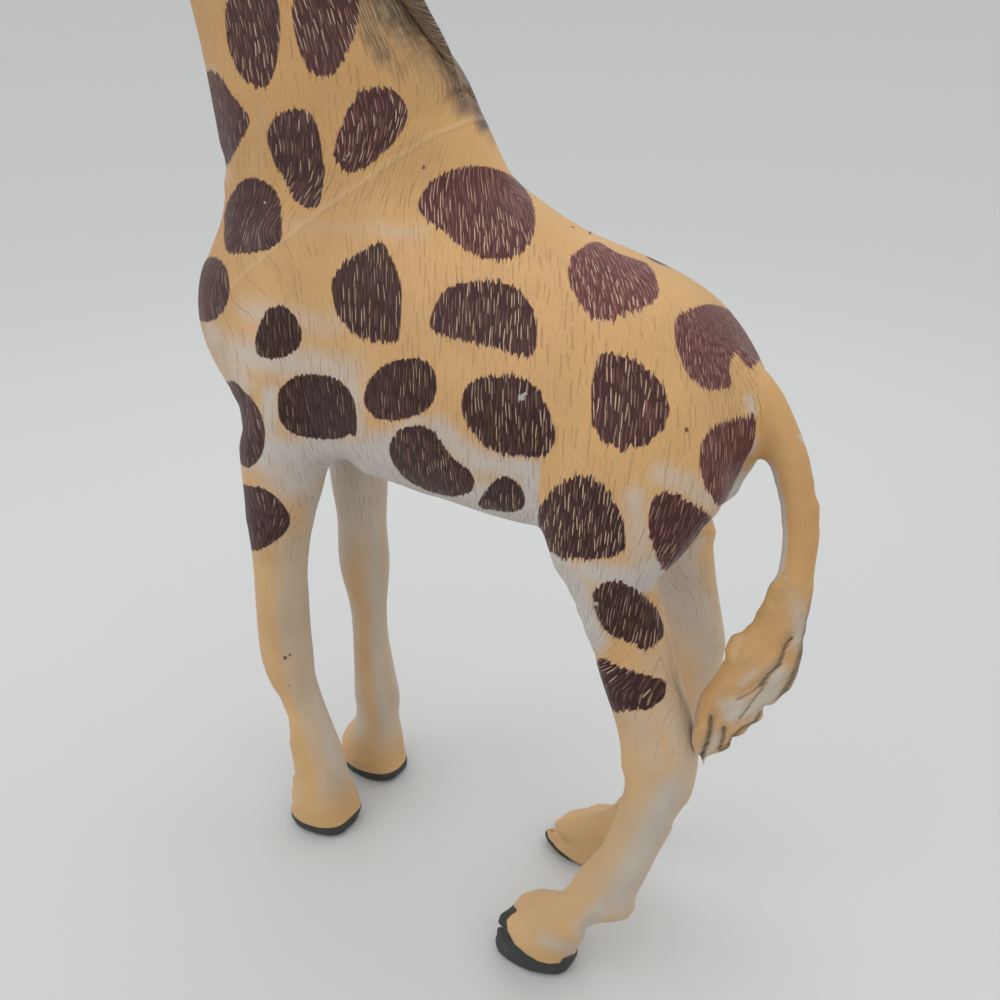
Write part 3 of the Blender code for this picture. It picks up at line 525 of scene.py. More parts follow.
# Spot outlines in frame pixels, with plum tone and streakiness from 0 to 1.
spots = [
    ([(226, 0), (225, 15), (226, 37), (231, 57), (241, 78), (251, 87), (260, 89), (270, 84), (276, 70),
      (279, 45), (280, 20), (278, 0), (271, -18), (255, -28), (238, -18)], 0.25, 0.5),
    ([(292, 0), (292, 15), (295, 35), (299, 50), (305, 65), (314, 75), (327, 79), (337, 71), (346, 57),
      (354, 37), (359, 17), (360, 0), (352, -25), (330, -38), (308, -28)], 0.35, 0.55),
    ([(206, 72), (211, 70), (220, 75), (230, 92), (242, 107), (251, 119), (247, 130), (239, 144),
      (232, 157), (229, 164), (222, 166), (212, 145), (206, 115), (198, 80)], 0.3, 0.15),
    ([(266, 136), (270, 122), (280, 112), (295, 108), (306, 110), (315, 119), (320, 137), (323, 160),
      (325, 172), (321, 197), (319, 207), (305, 209), (297, 202), (290, 192), (280, 172), (271, 155)],
     0.2, 0.5),
    ([(335, 150), (337, 135), (345, 117), (352, 100), (364, 90), (377, 86), (392, 90), (402, 97),
      (409, 112), (405, 127), (395, 142), (382, 154), (370, 165), (357, 172), (347, 174), (340, 165),
      (332, 156)], 0.35, 0.6),
    ([(224, 212), (230, 195), (242, 179), (255, 177), (270, 184), (280, 197), (281, 217), (283, 235),
      (277, 246), (262, 252), (242, 254), (226, 254), (224, 237)], 0.2, 0.12),
    ([(190, 300), (198, 272), (207, 258), (214, 256), (224, 262), (229, 277), (230, 295), (224, 312),
      (212, 322), (202, 322), (190, 316)], 0.3, 0.08),
    ([(256, 350), (255, 340), (260, 322), (266, 311), (277, 305), (290, 309), (297, 320), (303, 332),
      (300, 346), (290, 356), (275, 360), (260, 358)], 0.0, 0.1),
    ([(330, 287), (335, 272), (347, 260), (362, 250), (377, 243), (384, 243), (390, 255), (397, 272),
      (402, 290), (401, 315), (400, 336), (395, 342), (380, 343), (360, 339), (345, 327), (336, 312)],
     0.15, 0.55),
    ([(417, 205), (422, 192), (432, 180), (450, 170), (470, 165), (492, 167), (512, 175), (527, 190),
      (535, 207), (535, 230), (530, 245), (517, 257), (500, 262), (480, 259), (460, 246), (440, 230),
      (422, 217)], 0.65, 0.8),
    ([(429, 322), (434, 307), (442, 292), (460, 282), (485, 280), (505, 281), (520, 290), (531, 305),
      (537, 322), (537, 344), (534, 356), (520, 357), (502, 350), (482, 345), (462, 341), (442, 336),
      (431, 331)], 0.25, 0.75),
    ([(369, 380), (380, 367), (395, 360), (415, 357), (430, 362), (436, 375), (437, 392), (433, 404),
      (420, 415), (402, 420), (385, 422), (370, 415), (362, 400)], 0.1, 0.3),
    ([(277, 405), (280, 387), (295, 375), (315, 374), (335, 377), (347, 387), (355, 400), (357, 420),
      (357, 438), (349, 433), (343, 439), (320, 440), (297, 436), (280, 425)], 0.0, 0.12),
    ([(215, 380), (226, 382), (235, 380), (245, 392), (255, 402), (262, 415), (266, 435), (262, 455),
      (255, 465), (246, 468), (236, 462), (230, 440), (220, 410)], 0.15, 0.05),
    ([(236, 484), (255, 486), (268, 490), (280, 500), (289, 512), (291, 522), (284, 535), (270, 545),
      (256, 552), (246, 548), (240, 520)], 0.1, 0.1),
    ([(388, 452), (392, 438), (400, 428), (415, 424), (430, 428), (440, 440), (452, 458), (470, 470),
      (476, 482), (470, 493), (455, 497), (440, 495), (415, 486), (398, 472)], 0.05, 0.3),
    ([(476, 505), (487, 488), (500, 476), (511, 477), (522, 487), (526, 500), (523, 509), (511, 513),
      (498, 511), (484, 509)], 0.0, 0.35),
    ([(461, 402), (466, 386), (480, 376), (500, 374), (519, 377), (534, 384), (543, 397), (550, 412),
      (556, 431), (554, 447), (546, 456), (533, 457), (518, 456), (500, 455), (485, 446), (470, 430),
      (463, 417)], 0.1, 0.6),
    ([(568, 276), (568, 265), (573, 254), (582, 246), (593, 241), (602, 243), (612, 250), (623, 255),
      (638, 260), (649, 264), (655, 274), (658, 286), (660, 294), (654, 303), (641, 310), (626, 315),
      (612, 321), (602, 322), (593, 319), (585, 312), (580, 302), (572, 290)], 1.0, 0.9),
    ([(593, 371), (602, 351), (612, 352), (626, 356), (638, 360), (649, 371), (660, 379), (668, 397),
      (670, 412), (665, 427), (654, 438), (641, 446), (623, 449), (610, 447), (598, 436), (592, 425),
      (591, 408), (591, 390)], 0.3, 0.7),
    ([(674, 325), (678, 315), (688, 310), (701, 305), (712, 304), (721, 306), (733, 312), (750, 327),
      (764, 343), (764, 356), (757, 362), (751, 371), (742, 360), (737, 352), (731, 358), (729, 371),
      (731, 379), (732, 388), (721, 389), (706, 391), (697, 384), (686, 373), (680, 358), (675, 343)],
     0.85, 0.55),
    ([(756, 414), (756, 432), (752, 450), (744, 462), (736, 480), (727, 498), (721, 508), (714, 502),
      (706, 490), (701, 475), (700, 459), (700, 446), (706, 434), (716, 424), (729, 419), (746, 416)],
     0.7, 0.6),
    ([(537, 512), (545, 498), (558, 486), (569, 477), (580, 473), (593, 477), (606, 487), (615, 500),
      (622, 518), (626, 538), (625, 550), (615, 557), (600, 559), (575, 560), (560, 557), (548, 550),
      (540, 536)], 0.15, 0.85),
    ([(649, 509), (654, 498), (663, 491), (673, 493), (684, 499), (698, 507), (714, 516), (703, 542),
      (688, 574), (680, 579), (662, 571), (651, 546), (648, 524)], 0.35, 0.5),
    ([(593, 600), (593, 590), (603, 583), (614, 580), (626, 583), (640, 592), (650, 600), (660, 613),
      (665, 630), (662, 643), (650, 648), (640, 648), (630, 642), (616, 638), (604, 630), (597, 618)],
     0.1, 0.6),
    ([(596, 660), (603, 657), (612, 664), (624, 668), (640, 673), (655, 677), (667, 681), (668, 690),
      (664, 699), (655, 706), (643, 711), (628, 710), (614, 713), (605, 704), (600, 685)], 0.1, 0.5),
    ([(642, 250), (660, 252), (682, 262), (678, 269), (662, 265), (648, 259)], 0.4, 0.1),
]

# Airbrush strokes in frame pixels: line, width, amount.
creamStrokes = [
    ([(212, 335), (228, 362), (240, 385)], 20, 0.6), ([(232, 352), (345, 372)], 24, 0.62),
    ([(246, 310), (330, 325)], 20, 0.45), ([(350, 382), (362, 440)], 12, 0.6),
    ([(250, 450), (330, 462), (388, 448)], 22, 0.95), ([(270, 392), (268, 470)], 12, 0.7),
    ([(212, 70), (226, 180)], 9, 0.35), ([(262, 110), (258, 165)], 12, 0.25),
    ([(285, 225), (420, 232)], 14, 0.3), ([(392, 470), (470, 505)], 12, 0.9),
    ([(552, 562), (572, 585), (592, 640)], 19, 0.95), ([(634, 500), (642, 565)], 19, 0.55),
    ([(585, 572), (650, 578)], 14, 0.8), ([(662, 474), (692, 488), (722, 512)], 18, 0.5),
    ([(668, 590), (664, 650), (655, 700)], 14, 0.35), ([(600, 700), (618, 745)], 10, 0.35),
    ([(752, 440), (742, 475), (726, 512)], 7, 0.9), ([(748, 398), (752, 412)], 7, 0.6),
    ([(640, 655), (690, 665)], 10, 0.3), ([(680, 585), (700, 540)], 9, 0.6),
    ([(365, 470), (372, 520)], 8, 0.4), ([(300, 470), (318, 520)], 10, 0.5),
]
flankStrokes = [  # these stop at the flank line
    ([(462, 500), (536, 514)], 16, 1.0), ([(436, 428), (474, 462), (536, 474)], 18, 0.75),
    ([(527, 468), (532, 522)], 12, 0.95), ([(396, 432), (420, 420), (446, 425)], 8, 0.6),
]
shadeStrokes = [
    ([(358, -5), (370, 30), (384, 54)], 17, 0.7), ([(384, 54), (399, 72)], 13, 0.5), ([(418, 0),
        (436, 16), (449, 42)], 13, 0.97),
    ([(451, 46), (462, 66), (473, 92), (484, 124)], 10, 0.97), ([(430, 30), (450, 70),
        (465, 105)], 16, 0.8),
    ([(484, 124), (494, 140)], 7, 0.45), ([(390, -10), (405, 28), (430, 60)], 26, 0.5),
]
# grey-beige airbrush strokes on the near hind leg and foot, partly painted shade on the leg's rear side
greyStrokes = [  # near hind leg and foot
    ([(672, 792), (646, 845), (618, 900)], 21, 1.0), ([(604, 905), (585, 930)], 12, 0.95),
    ([(545, 940), (572, 950)], 8, 0.7), ([(640, 715), (655, 760)], 18, 0.5),
]
# grey-beige down the rear halves of the fore legs, partly airbrushed paint, partly painted shade
foreGrey = [([(318, 500), (312, 600), (318, 700), (338, 770)], 13, 0.9),
            ([(376, 480), (377, 600), (382, 700), (390, 735)], 10, 0.9)]
tuftShade = [([(816, 572), (812, 604), (808, 627), (803, 648), (797, 668), (787, 688), (777, 704)], 5, 0.8),
             ([(791, 638), (785, 647), (779, 664), (768, 675), (760, 686)], 2.8, 0.85),
             ([(760, 686), (748, 694), (737, 699)], 2.3, 0.6), ([(767, 682), (757, 695),
                 (740, 718)], 1.7, 0.7),
             ([(711, 716), (710, 732), (706, 746), (699, 762)], 3.2, 0.95),
             ([(724, 728), (723, 739), (719, 749)], 2.8, 0.9),
             ([(760, 712), (755, 722), (742, 728), (735, 735), (727, 746), (716, 758),
                 (703, 767)], 2.4, 0.8),
             ([(690, 712), (689, 735), (692, 752)], 1.8, 0.45)]
tuftPale = [([(794, 590), (802, 618), (799, 640)], 10, 0.8), ([(778, 676), (772, 692),
    (756, 706)], 12, 1.0),
            ([(750, 708), (733, 714)], 11, 1.0), ([(726, 706), (742, 703)], 8, 0.9), ([(716, 738),
                (704, 755)], 9, 0.75),
            ([(755, 672), (740, 684)], 5, 0.5), ([(694, 690), (691, 715), (690, 740)], 5, 0.8)]
tuftWarm = [([(741, 638), (733, 658)], 6, 0.9), ([(700, 700), (697, 715)], 7, 0.8),
            ([(783, 577), (778, 590)], 6, 0.6), ([(765, 650), (740, 672)], 8, 0.4)]
blackRim = [(510.7, 900), (496, 912), (492, 921.7), (494, 926.6), (485, 934.3), (485, 945), (492, 962),
            (512, 975), (540, 982), (565, 981), (580, 972), (588, 958), (580, 951.5), (573.8, 953.9),
            (562.6, 958.1), (559.8, 963), (548.5, 963.7), (537.3, 960.9), (526.1, 953.9),
            (514.9, 944.1), (507.9, 931.5), (506.7, 920.3), (512, 914.6), (518.4, 911.1), (513, 905)]
specks = [(686, 430, 0.34), (424, 167, 0.42), (285, 658, 0.5), (290, 655, 0.3), (289, 686, 0.22),
          (462, 96, 0.22), (590, 233, 0.3), (573, 227, 0.2), (636, 560, 0.15), (279, 661, 0.2)]
chips = [(522, 397, 0.55), (525, 394, 0.35), (519, 400, 0.3), (265, 203, 0.3), (596, 604, 0.45),
         (345, 158, 0.4), (349, 153, 0.25), (800, 437, 0.35), (802, 441, 0.3)]


def spotField(x, y, depth):
    # signed distance to the nearest spot in millimetres, with its tone and streakiness
    best = np.full(len(x), 40.0)
    tone, streaks = np.zeros(len(x)), np.zeros(len(x))
    for outline, plum, streaky in spots:
        line = rounded(outline)
        xs, ys = [p[0] for p in line], [p[1] for p in line]
        close = np.flatnonzero((x > min(xs) - 60) & (x < max(xs) + 60)
                               & (y > min(ys) - 60) & (y < max(ys) + 60))
        if len(close) == 0:
            continue
        px, py = x[close], y[close]
        away = lineDistance(px, py, line + line[:1]) * depth[close] / view["focal"]
        away[insideOf(px, py, line)] *= -1
        closer = away < best[close]
        best[close[closer]] = away[closer]
        tone[close[closer]] = plum
        streaks[close[closer]] = streaky
    return best, tone, streaks


def sprayed(x, y, strokes):
    total = np.zeros(len(x))
    for line, width, amount in strokes:
        total = np.maximum(total, amount * np.exp(-(lineDistance(x, y, line) / width) ** 2))
    return total


def nearestDot(x, y, depth, dots):
    best = np.full(len(x), 30.0)
    for dotX, dotY, radius in dots:
        best = np.minimum(best, np.hypot(x - dotX, y - dotY) * depth / view["focal"] - radius)
    return best


def wander(points, seed, size, amount):
    # a slow, smooth offset made of a few sine waves
    rng = np.random.default_rng(seed)
    offset = np.zeros_like(points)
    for _ in range(5):
        wave = rng.normal(size=3) / size
        offset += np.sin(points @ wave + rng.uniform(0, 6.3))[:, None] * rng.normal(size=3)
    return offset * amount / 2


def tubeTable(plan, chosen, low, high, step=5.0):
    # outline of a limb or the neck at each height: x from and to, y from and to
    own, rows = plan[chosen], []
    levels = np.arange(low, high + step, step)
    for level in levels:
        band = own[np.abs(own[:, 2] - level) < step * 0.6]
        rows.append([*np.percentile(band[:, 0], (1, 99)), *np.percentile(band[:, 1], (1, 99))]
                    if len(band) > 20 else rows[-1])
    return levels, np.array(rows)


def tubeAngle(plan, table):
    # angle from the front of the limb, its mean radius, and its middle
    levels, rows = table
    x0, x1, y0, y1 = (np.interp(plan[:, 2], levels, rows[:, k]) for k in range(4))
    u = (plan[:, 0] - (x0 + x1) / 2) / np.maximum((x1 - x0) / 2, 1)
    v = (plan[:, 1] - (y0 + y1) / 2) / np.maximum((y1 - y0) / 2, 1)
    return np.arctan2(v, -u), (x1 - x0 + y1 - y0) / 4, (x0 + x1) / 2


def tubeAcross(plan, table):
    angle, radius, middle = tubeAngle(plan, table)
    return middle.mean() + np.sqrt(radius * radius.mean()) * (np.abs(angle) - math.pi / 2)


upperSpots = {"seed": 5, "levels": (221, 235.5, 249, 261), "tall": (7.0, 6.2, 5.6, 4.6), "around": 5}


def upperSpotField(plan, table):
    # rounded blotches on the neck above the photograph's top edge, and on the cheeks
    rng = np.random.default_rng(upperSpots["seed"])
    best = np.full(len(plan), 40.0)
    angle, radius, middle = tubeAngle(plan, table)
    rise = plan[:, 2] + 0.25 * (middle - plan[:, 0])
    for row, (level, tall) in enumerate(zip(upperSpots["levels"], upperSpots["tall"])):
        for place in range(upperSpots["around"]):
            centre = math.tau * (place + 0.5 * (row % 2) + 0.22) / upperSpots["around"]
            centre += rng.uniform(-0.12, 0.12)
            wide = 0.375 * math.tau * np.interp(level, table[0], (table[1][:, 1] - table[1][:, 0]
                   + table[1][:, 3] - table[1][:, 2]) / 4) / upperSpots["around"]
            turned = (angle - centre + math.pi) % math.tau - math.pi
            u, v = turned * radius / wide, (rise - level - rng.uniform(-1.2, 1.2)) / tall
            way = np.arctan2(v, u)
            edge = 1 + 0.09 * np.sin(2 * way + rng.uniform(0, 6)) + 0.06 * np.sin(
                3 * way + rng.uniform(0, 6))
            best = np.minimum(best, (np.hypot(u, v) - edge) * min(wide, tall))
    best[(plan[:, 2] < 205) | (ahead(plan, headSeam) > 3)] = 40
    for along, up, side, size in ((0.52, -0.12, 0.5, 3.0), (0.38, -0.42, 0.5, 3.6), (0.20, -0.2, 0.5, 3.0),
                                  (0.14, -0.55, 0.5, 3.4), (0.62, -0.28, 0.45, 1.8),
                                  (0.45, 0.22, 0.2, 1.7), (0.10, 0.28, 0.3, 1.8)):
        for way in (-1, 1):
            away = plan - headPlace(along, up, way * side)
            best = np.minimum(best, np.sqrt((away ** 2).sum(1)) - size)
    return best


def hairField(plan):
    # skin coordinates in millimetres: across the hair, and along it
    x, y, z = plan.T
    side = np.abs(y)
    wrap = np.maximum(-4 - x, 0) + np.maximum(x - 88, 0)
    turned = np.arctan2(wrap, side + 2)
    across = np.clip(x, -4, 88) + np.where(x < 0, -20, 16) * turned
    high = z - 140
    arc = 26 * np.arctan2(np.hypot(side, wrap) / 22, np.maximum(high, 0) / 30)
    down = np.where(high > 0, arc, 13 * math.pi - high)
    across -= 5 * (1 - np.exp(-down / 10))  # near the spine the hair lies backwards
    across -= 0.55 * side * smooth(-12, 14, x) + smooth(70, 100, x) * 0.2 * (z - 135)
    along = -down

    def blend(share, newAcross, newAlong, band):
        nonlocal across, along
        newAcross = newAcross + np.mean((across - newAcross)[band])
        newAlong = newAlong + np.mean((along - newAlong)[band])
        across = across + share * (newAcross - across)
        along = along + share * (newAlong - along)

    seam, headEnd = ahead(plan, neckSeam), ahead(plan, headSeam)
    neckTable = tubeTable(plan, (seam > -12) & (headEnd < 2) & (z > 140) & (x < 60), 160, 262)
    blend(smooth(-9, 9, seam) * (z > 110), tubeAcross(plan, neckTable) - 0.18 * z, 1.1 * z,
          (np.abs(seam) < 2) & (z > 140))
    offset = plan - poll
    blend(smooth(-4, 6, headEnd) * (z > 235), 9 * np.arctan2(side / 9, (offset @ crown + 4) / 10),
          -(offset @ forward), (np.abs(headEnd) < 2) & (z > 235))
    for fore in (True, False):
        for left in (True, False):
            own = ((x < legSplit) == fore) & ((y < 0) == left)
            table = tubeTable(plan, own & (z < 100), 2, 97)
            blend(smooth(104, 88, z) * own, tubeAcross(plan, table), z,
                  own & (np.abs(z - 96) < 2) & (x < 99))
    spine = smooth(12, 3, down) * (seam < 4) * (z > 135)
    return np.stack([across, np.zeros(len(x)), along], 1), neckTable, spine


def setVector(mesh, name, values):
    layer = mesh.attributes.new(name, "FLOAT_VECTOR", "POINT")
    layer.data.foreach_set("vector", np.ascontiguousarray(values, np.float32).ravel())


def surfaceGradient(mesh, values):
    edges, co = edgesOf(mesh), pointsOf(mesh) / mm
    step = co[edges[:, 1]] - co[edges[:, 0]]
    rise = (values[edges[:, 1]] - values[edges[:, 0]]) / np.maximum((step ** 2).sum(1), 1e-6)
    count = np.bincount(edges.ravel(), minlength=len(co))
    parts = [np.bincount(edges[:, 0], rise * step[:, k], len(co))
             + np.bincount(edges[:, 1], rise * step[:, k], len(co)) for k in range(3)]
    return np.stack(parts, 1) * 2 / count[:, None]


paintLayers = {"spotAway": 30, "spotSlope": 0, "spotPlum": 0, "spotStreaks": 0, "cream": 0, "peach": 0,
               "greyed": 0, "ochre": 0, "shade": 0, "inked": 0, "blackAway": 30, "speckAway": 30,
               "chipAway": 30, "seamAway": 30, "hairy": 0.5}


def paint(mesh, hair, **layers):
    # stores the hide's masks on a mesh; what isn't given is left bare
    for name, bare in paintLayers.items():
        setFloat(mesh, name, layers.get(name, bare))
    setVector(mesh, "hair", hair)


def seenFrom(plan, way):
    # frame pixels, depth, and how far the skin faces the photograph's camera
    px, py, depth = seen(plan)
    toEye = np.array(view["place"]) / mm + planOrigin - plan
    return px, py, depth, (way * toEye).sum(1) / np.linalg.norm(toEye, axis=1)


def paintSkin(mesh):
    way = normalsOf(mesh)
    plan = pointsOf(mesh) / mm + planOrigin
    x, y, z = plan.T
    hair, neckTable, spine = hairField(plan)
    px, py, depth, facing = seenFrom(plan, way)
    mirror = plan * (1, -1, 1)  # the right side is painted as a loose mirror image of the left
    mirror = mirror + wander(mirror, 3, 22, 2.4) * (1, 0, 1) + (2, 0, -1)
    mx, my, mirrorDepth, mirrorFacing = seenFrom(mirror, way * (1, -1, 1))

    away, tone, streaks = spotField(px, py, depth)
    farAway, farTone, farStreaks = spotField(mx, my, mirrorDepth)
    away = np.maximum(away, -7 * (facing + 0.12))  # spots close just past the outline
    farAway = np.maximum(farAway, -7 * (mirrorFacing + 0.12))
    farAway = np.maximum(farAway, 7 * (facing - np.where(z > 106, 0.02, -0.12 + 0.1 * np.sin(0.5 * z))))
    away, farAway = (np.where((y * out > 1) & (z < 120), 40, spotted)
                     for spotted, out in ((away, 1), (farAway, -1)))
    low = z < 106
    away = np.where(low, np.where(y > 1, 40, np.maximum(away, 8 * (way[:, 1] - 0.35))), away)
    farAway = np.where(low, np.where(y < -1, 40, np.maximum(farAway, 8 * (-way[:, 1] - 0.35))), farAway)
    far = farAway < away
    away, tone, streaks = (np.where(far, b, a) for a, b in
                           ((away, farAway), (tone, farTone), (streaks, farStreaks)))
    upper = upperSpotField(plan, neckTable)
    upper = np.maximum(upper, 0.25 * (np.maximum(py, my) + 52))
    far = (upper < away) & (z > 200)
    away, tone, streaks = np.where(far, upper, away), np.where(far, 0.3, tone), np.where(far, 0.5, streaks)

    streaks = streaks * (1 - 0.9 * spine)
    onBody = smooth(92, 112, z)
    nearSide = smooth(-0.25, 0.15, facing)
    farSide = (1 - nearSide) * smooth(-0.3, 0.1, mirrorFacing)
    inFront = x < flankSeam[0][0]
    cream = np.maximum(sprayed(px, py, creamStrokes) * nearSide, sprayed(mx, my, creamStrokes) * farSide)
    flank = np.maximum(sprayed(px, py, flankStrokes) * nearSide, sprayed(mx, my, flankStrokes) * farSide)
    cream = np.maximum(cream, flank * smooth(0.4, -0.4, x - flankSeam[0][0] - 0.1 * (z - 125)))
    belly = smooth(0.25, -0.75, way[:, 2]) * smooth(134, 112, z) * onBody * smooth(-20, 0, x)
    under = smooth(0.1, -0.5, way[:, 2]) * smooth(140, 118, z) * onBody
    legInner = smooth(0.1, 0.75, np.where(y < 0, way[:, 1], -way[:, 1])) * smooth(116, 96, z)
    chin = smooth(-0.2, -0.8, way[:, 2]) * smooth(246, 252, z)
    throat = smooth(-0.45, -0.9, way[:, 0]) * smooth(150, 200, z) * 0.4
    tailShare = floatOf(mesh, "tailShare")
    onTail = np.maximum(smooth(100, 103, x) * (z > 130), tailShare)
    onTuft = tailShare * smooth(118, 108, z)
    tailInner = onTail * smooth(-0.15, -0.75, way[:, 0]) * smooth(150, 138, z) * (1 - onTuft)
    mesh.attributes.remove(mesh.attributes["tailShare"])
    legInner = legInner * (0.3 + 0.7 * smooth(60, 92, z))
    cream = np.max([cream * (1 - onTail), belly * (1 - onTail), under * (1 - onTail), legInner * 0.7, chin,
                    throat, tailInner], 0) * (1 - onTuft)

    legs = smooth(104, 84, z)
    peach = legs * (0.35 + 0.65 * smooth(0.35, -0.45, way[:, 0])) * (1 - 0.45 * legInner)
    peach = np.max([peach, smooth(24, 10, z) * (0.45 + 0.55 * smooth(0.5, -0.4, way[:, 0])),
                    onTail * 0.2], 0) * (1 - onTuft)
    # rear-facing sides of the legs turn grey-beige: partly airbrushed paint, partly painted shade on the
    # side turned from the light
    greyed = legs * smooth(0.1, 0.8, way[:, 0]) * 0.6 * smooth(6, 18, z)
    ownHind = (z < hindCut) & (x > legSplit) & (tailShare < 0.5)
    greyed = np.max([greyed, sprayed(px, py, greyStrokes) * (facing > -0.2) * ownHind * (y < 0),
                     sprayed(mx, my, greyStrokes) * (mirrorFacing > -0.2) * ownHind * (y > 0)], 0)
    greyed = np.maximum(greyed, np.maximum(sprayed(px, py, foreGrey), (y > 0) * sprayed(
        mx, my, foreGrey)) * (z < 108) * (x < legSplit) * smooth(8, 20, z))
    greyed = greyed * (1 - onTuft) + onTuft * sprayed(px, py, tuftPale)
    peach += onTuft * np.maximum(sprayed(px, py, tuftWarm), 0.3)
    shade = np.maximum(sprayed(px, py, shadeStrokes) * nearSide, sprayed(mx, my, shadeStrokes) * farSide)
    nape = smooth(0.2, 0.85, way[:, 0]) * smooth(178, 196, z) * smooth(282, 270, z) * (x < 40)
    shade = np.maximum(shade, nape) * (1 - onTuft) + onTuft * sprayed(px, py, tuftShade)
    ochre = np.max([smooth(-14, 16, ahead(plan, neckSeam)) * (z > 120) * 0.85, onTail * 0.7,
                    smooth(250, 262, z) * 0.5], 0)

    rims = [np.exp(-(mouthDistance(plan) / 0.5) ** 2) * 0.75]
    for side in (-1, 1):
        eye = headPlace(face["eye"][0], face["eye"][1], face["eye"][2] * side)
        rims.append(smooth(3.9, 2.9, np.linalg.norm(plan - eye, axis=1)))
        place = headPlace(face["nostril"][0], face["nostril"][1], face["nostril"][2] * side)
        rims.append(near(plan, place, 1.1) * 0.95)
        rims.append(0.6 * near(plan, headPlace(1.0, -0.2, 0.1 * side), 4.0))
    inked = np.max(rims, 0)

    # black edge of the hooves: above the sole on the near hind toe, lower inside the far hind foot
    limit = soleTop - 2.6 * smooth(0.0, 0.6, -way[:, 1]) * (y > 5) * (x > legSplit)
    black = z - limit
    rim = lineDistance(px, py, blackRim + blackRim[:1]) * depth / view["focal"]
    rim[insideOf(px, py, blackRim)] *= -1
    nearToe = (y < 0) & (x > legSplit) & (z < 14) & (facing > -0.3)
    black = np.where(nearToe, np.minimum(np.where(z < 2, z - 3, 30), rim), black)
    black = np.where(z > 15, 30, black)
    farToe = (y > 5) & (x > legSplit) & (z < 14) & (facing > -0.2)
    farRim = lineDistance(px, py, [(545, 829), (547, 838), (556, 849), (569, 860), (586, 870)])
    black = np.where(farToe, farRim * depth / view["focal"] - 0.4, black)

    blendIn = onTuft[:, None]
    tuftHair = np.stack([strandOf(plan) * 1.3, np.zeros(len(z)), z * 0.8 + x * 0.6], 1)
    hair = hair * (1 - blendIn) + tuftHair * blendIn
    slope = np.cross(surfaceGradient(mesh, away), surfaceGradient(mesh, hair[:, 0]))
    slope = np.linalg.norm(slope, axis=1) / np.maximum(
        np.linalg.norm(surfaceGradient(mesh, hair[:, 0]), axis=1), 0.2)
    slope = relax(np.clip(slope, 0, 1.2)[:, None], edgesOf(mesh), 3)[:, 0]

    paint(mesh, hair, spotAway=away, spotSlope=slope, spotPlum=tone, spotStreaks=streaks, cream=cream,
          peach=peach, greyed=greyed, ochre=ochre, shade=shade, inked=inked, blackAway=black,
          speckAway=np.where(facing > 0, nearestDot(px, py, depth, specks), 30),
          chipAway=np.where(facing > 0, nearestDot(px, py, depth, chips), 30),
          seamAway=ahead(plan, neckSeam),
          hairy=np.maximum(smooth(60, 100, z) * (1 - 0.8 * onTail) * (1 - 0.6 * smooth(245, 262, z)),
                           0.1 + 0.25 * onTuft) * (1 - 0.85 * spine))
    setFloat(mesh, "tailShare", tailShare)
    setVector(mesh, "skinNormal", way)
    return neckTable


neckTable = paintSkin(skin)
print("skin painted")


def node(tree, kind, **settings):
    made = tree.nodes.new(kind)
    for key, value in settings.items():
        setattr(made, key, value)
    return made


def feed(tree, socket, value):
    if isinstance(value, bpy.types.NodeSocket):
        tree.links.new(value, socket)
    else:
        socket.default_value = value


def maths(tree, operation, a, b=0.0, c=None, clamp=False):
    made = node(tree, "ShaderNodeMath", operation=operation, use_clamp=clamp)
    feed(tree, made.inputs[0], a)
    feed(tree, made.inputs[1], b)
    if c is not None:
        feed(tree, made.inputs[2], c)
    return made.outputs[0]


def scaledBy(tree, a, b):
    return maths(tree, "MULTIPLY", a, b)


def plus(tree, a, b):
    return maths(tree, "ADD", a, b)


def minus(tree, a, b, clamp=False):
    return maths(tree, "SUBTRACT", a, b, clamp=clamp)


def vectorMaths(tree, operation, a, b=None, scale=None):
    made = node(tree, "ShaderNodeVectorMath", operation=operation)
    feed(tree, made.inputs[0], a)
    if b is not None:
        feed(tree, made.inputs[1], b)
    if scale is not None:
        feed(tree, made.inputs["Scale"], scale)
    return made.outputs["Value"] if operation in ("DOT_PRODUCT", "LENGTH") else made.outputs[0]


def ramp(tree, value, low, high, smoothly=True, outLow=0.0, outHigh=1.0):
    made = node(tree, "ShaderNodeMapRange")
    made.interpolation_type = "SMOOTHSTEP" if smoothly else "LINEAR"
    feed(tree, made.inputs["Value"], value)
    feed(tree, made.inputs["From Min"], low)
    feed(tree, made.inputs["From Max"], high)
    feed(tree, made.inputs["To Min"], outLow)
    feed(tree, made.inputs["To Max"], outHigh)
    return made.outputs["Result"]


def mixed(tree, share, a, b, blend="MIX"):
    made = node(tree, "ShaderNodeMix", data_type="RGBA", blend_type=blend)
    feed(tree, made.inputs[0], share)
    feed(tree, made.inputs[6], a)
    feed(tree, made.inputs[7], b)
    return made.outputs[2]


def noise(tree, vector, scale, detail=2.0, rough=0.5):
    made = node(tree, "ShaderNodeTexNoise")
    feed(tree, made.inputs["Vector"], vector)
    feed(tree, made.inputs["Scale"], scale)
    feed(tree, made.inputs["Detail"], detail)
    feed(tree, made.inputs["Roughness"], rough)
    return made.outputs["Fac"]


def attribute(tree, name, vector=False):
    made = node(tree, "ShaderNodeAttribute", attribute_name=name)
    return made.outputs["Vector"] if vector else made.outputs["Fac"]


def newGroup(name, inputs, outputs):
    tree = bpy.data.node_groups.new(name, "ShaderNodeTree")
    for label, kind, default in inputs:
        socket = tree.interface.new_socket(label, in_out="INPUT", socket_type=kind)
        if default is not None:
            socket.default_value = default
    for label, kind in outputs:
        tree.interface.new_socket(label, in_out="OUTPUT", socket_type=kind)
    return tree, tree.nodes.new("NodeGroupInput").outputs, tree.nodes.new("NodeGroupOutput").inputs


def placed(tree, group, **values):
    made = node(tree, "ShaderNodeGroup")
    made.node_tree = group
    for key, value in values.items():
        feed(tree, made.inputs[key], value)
    return made.outputs


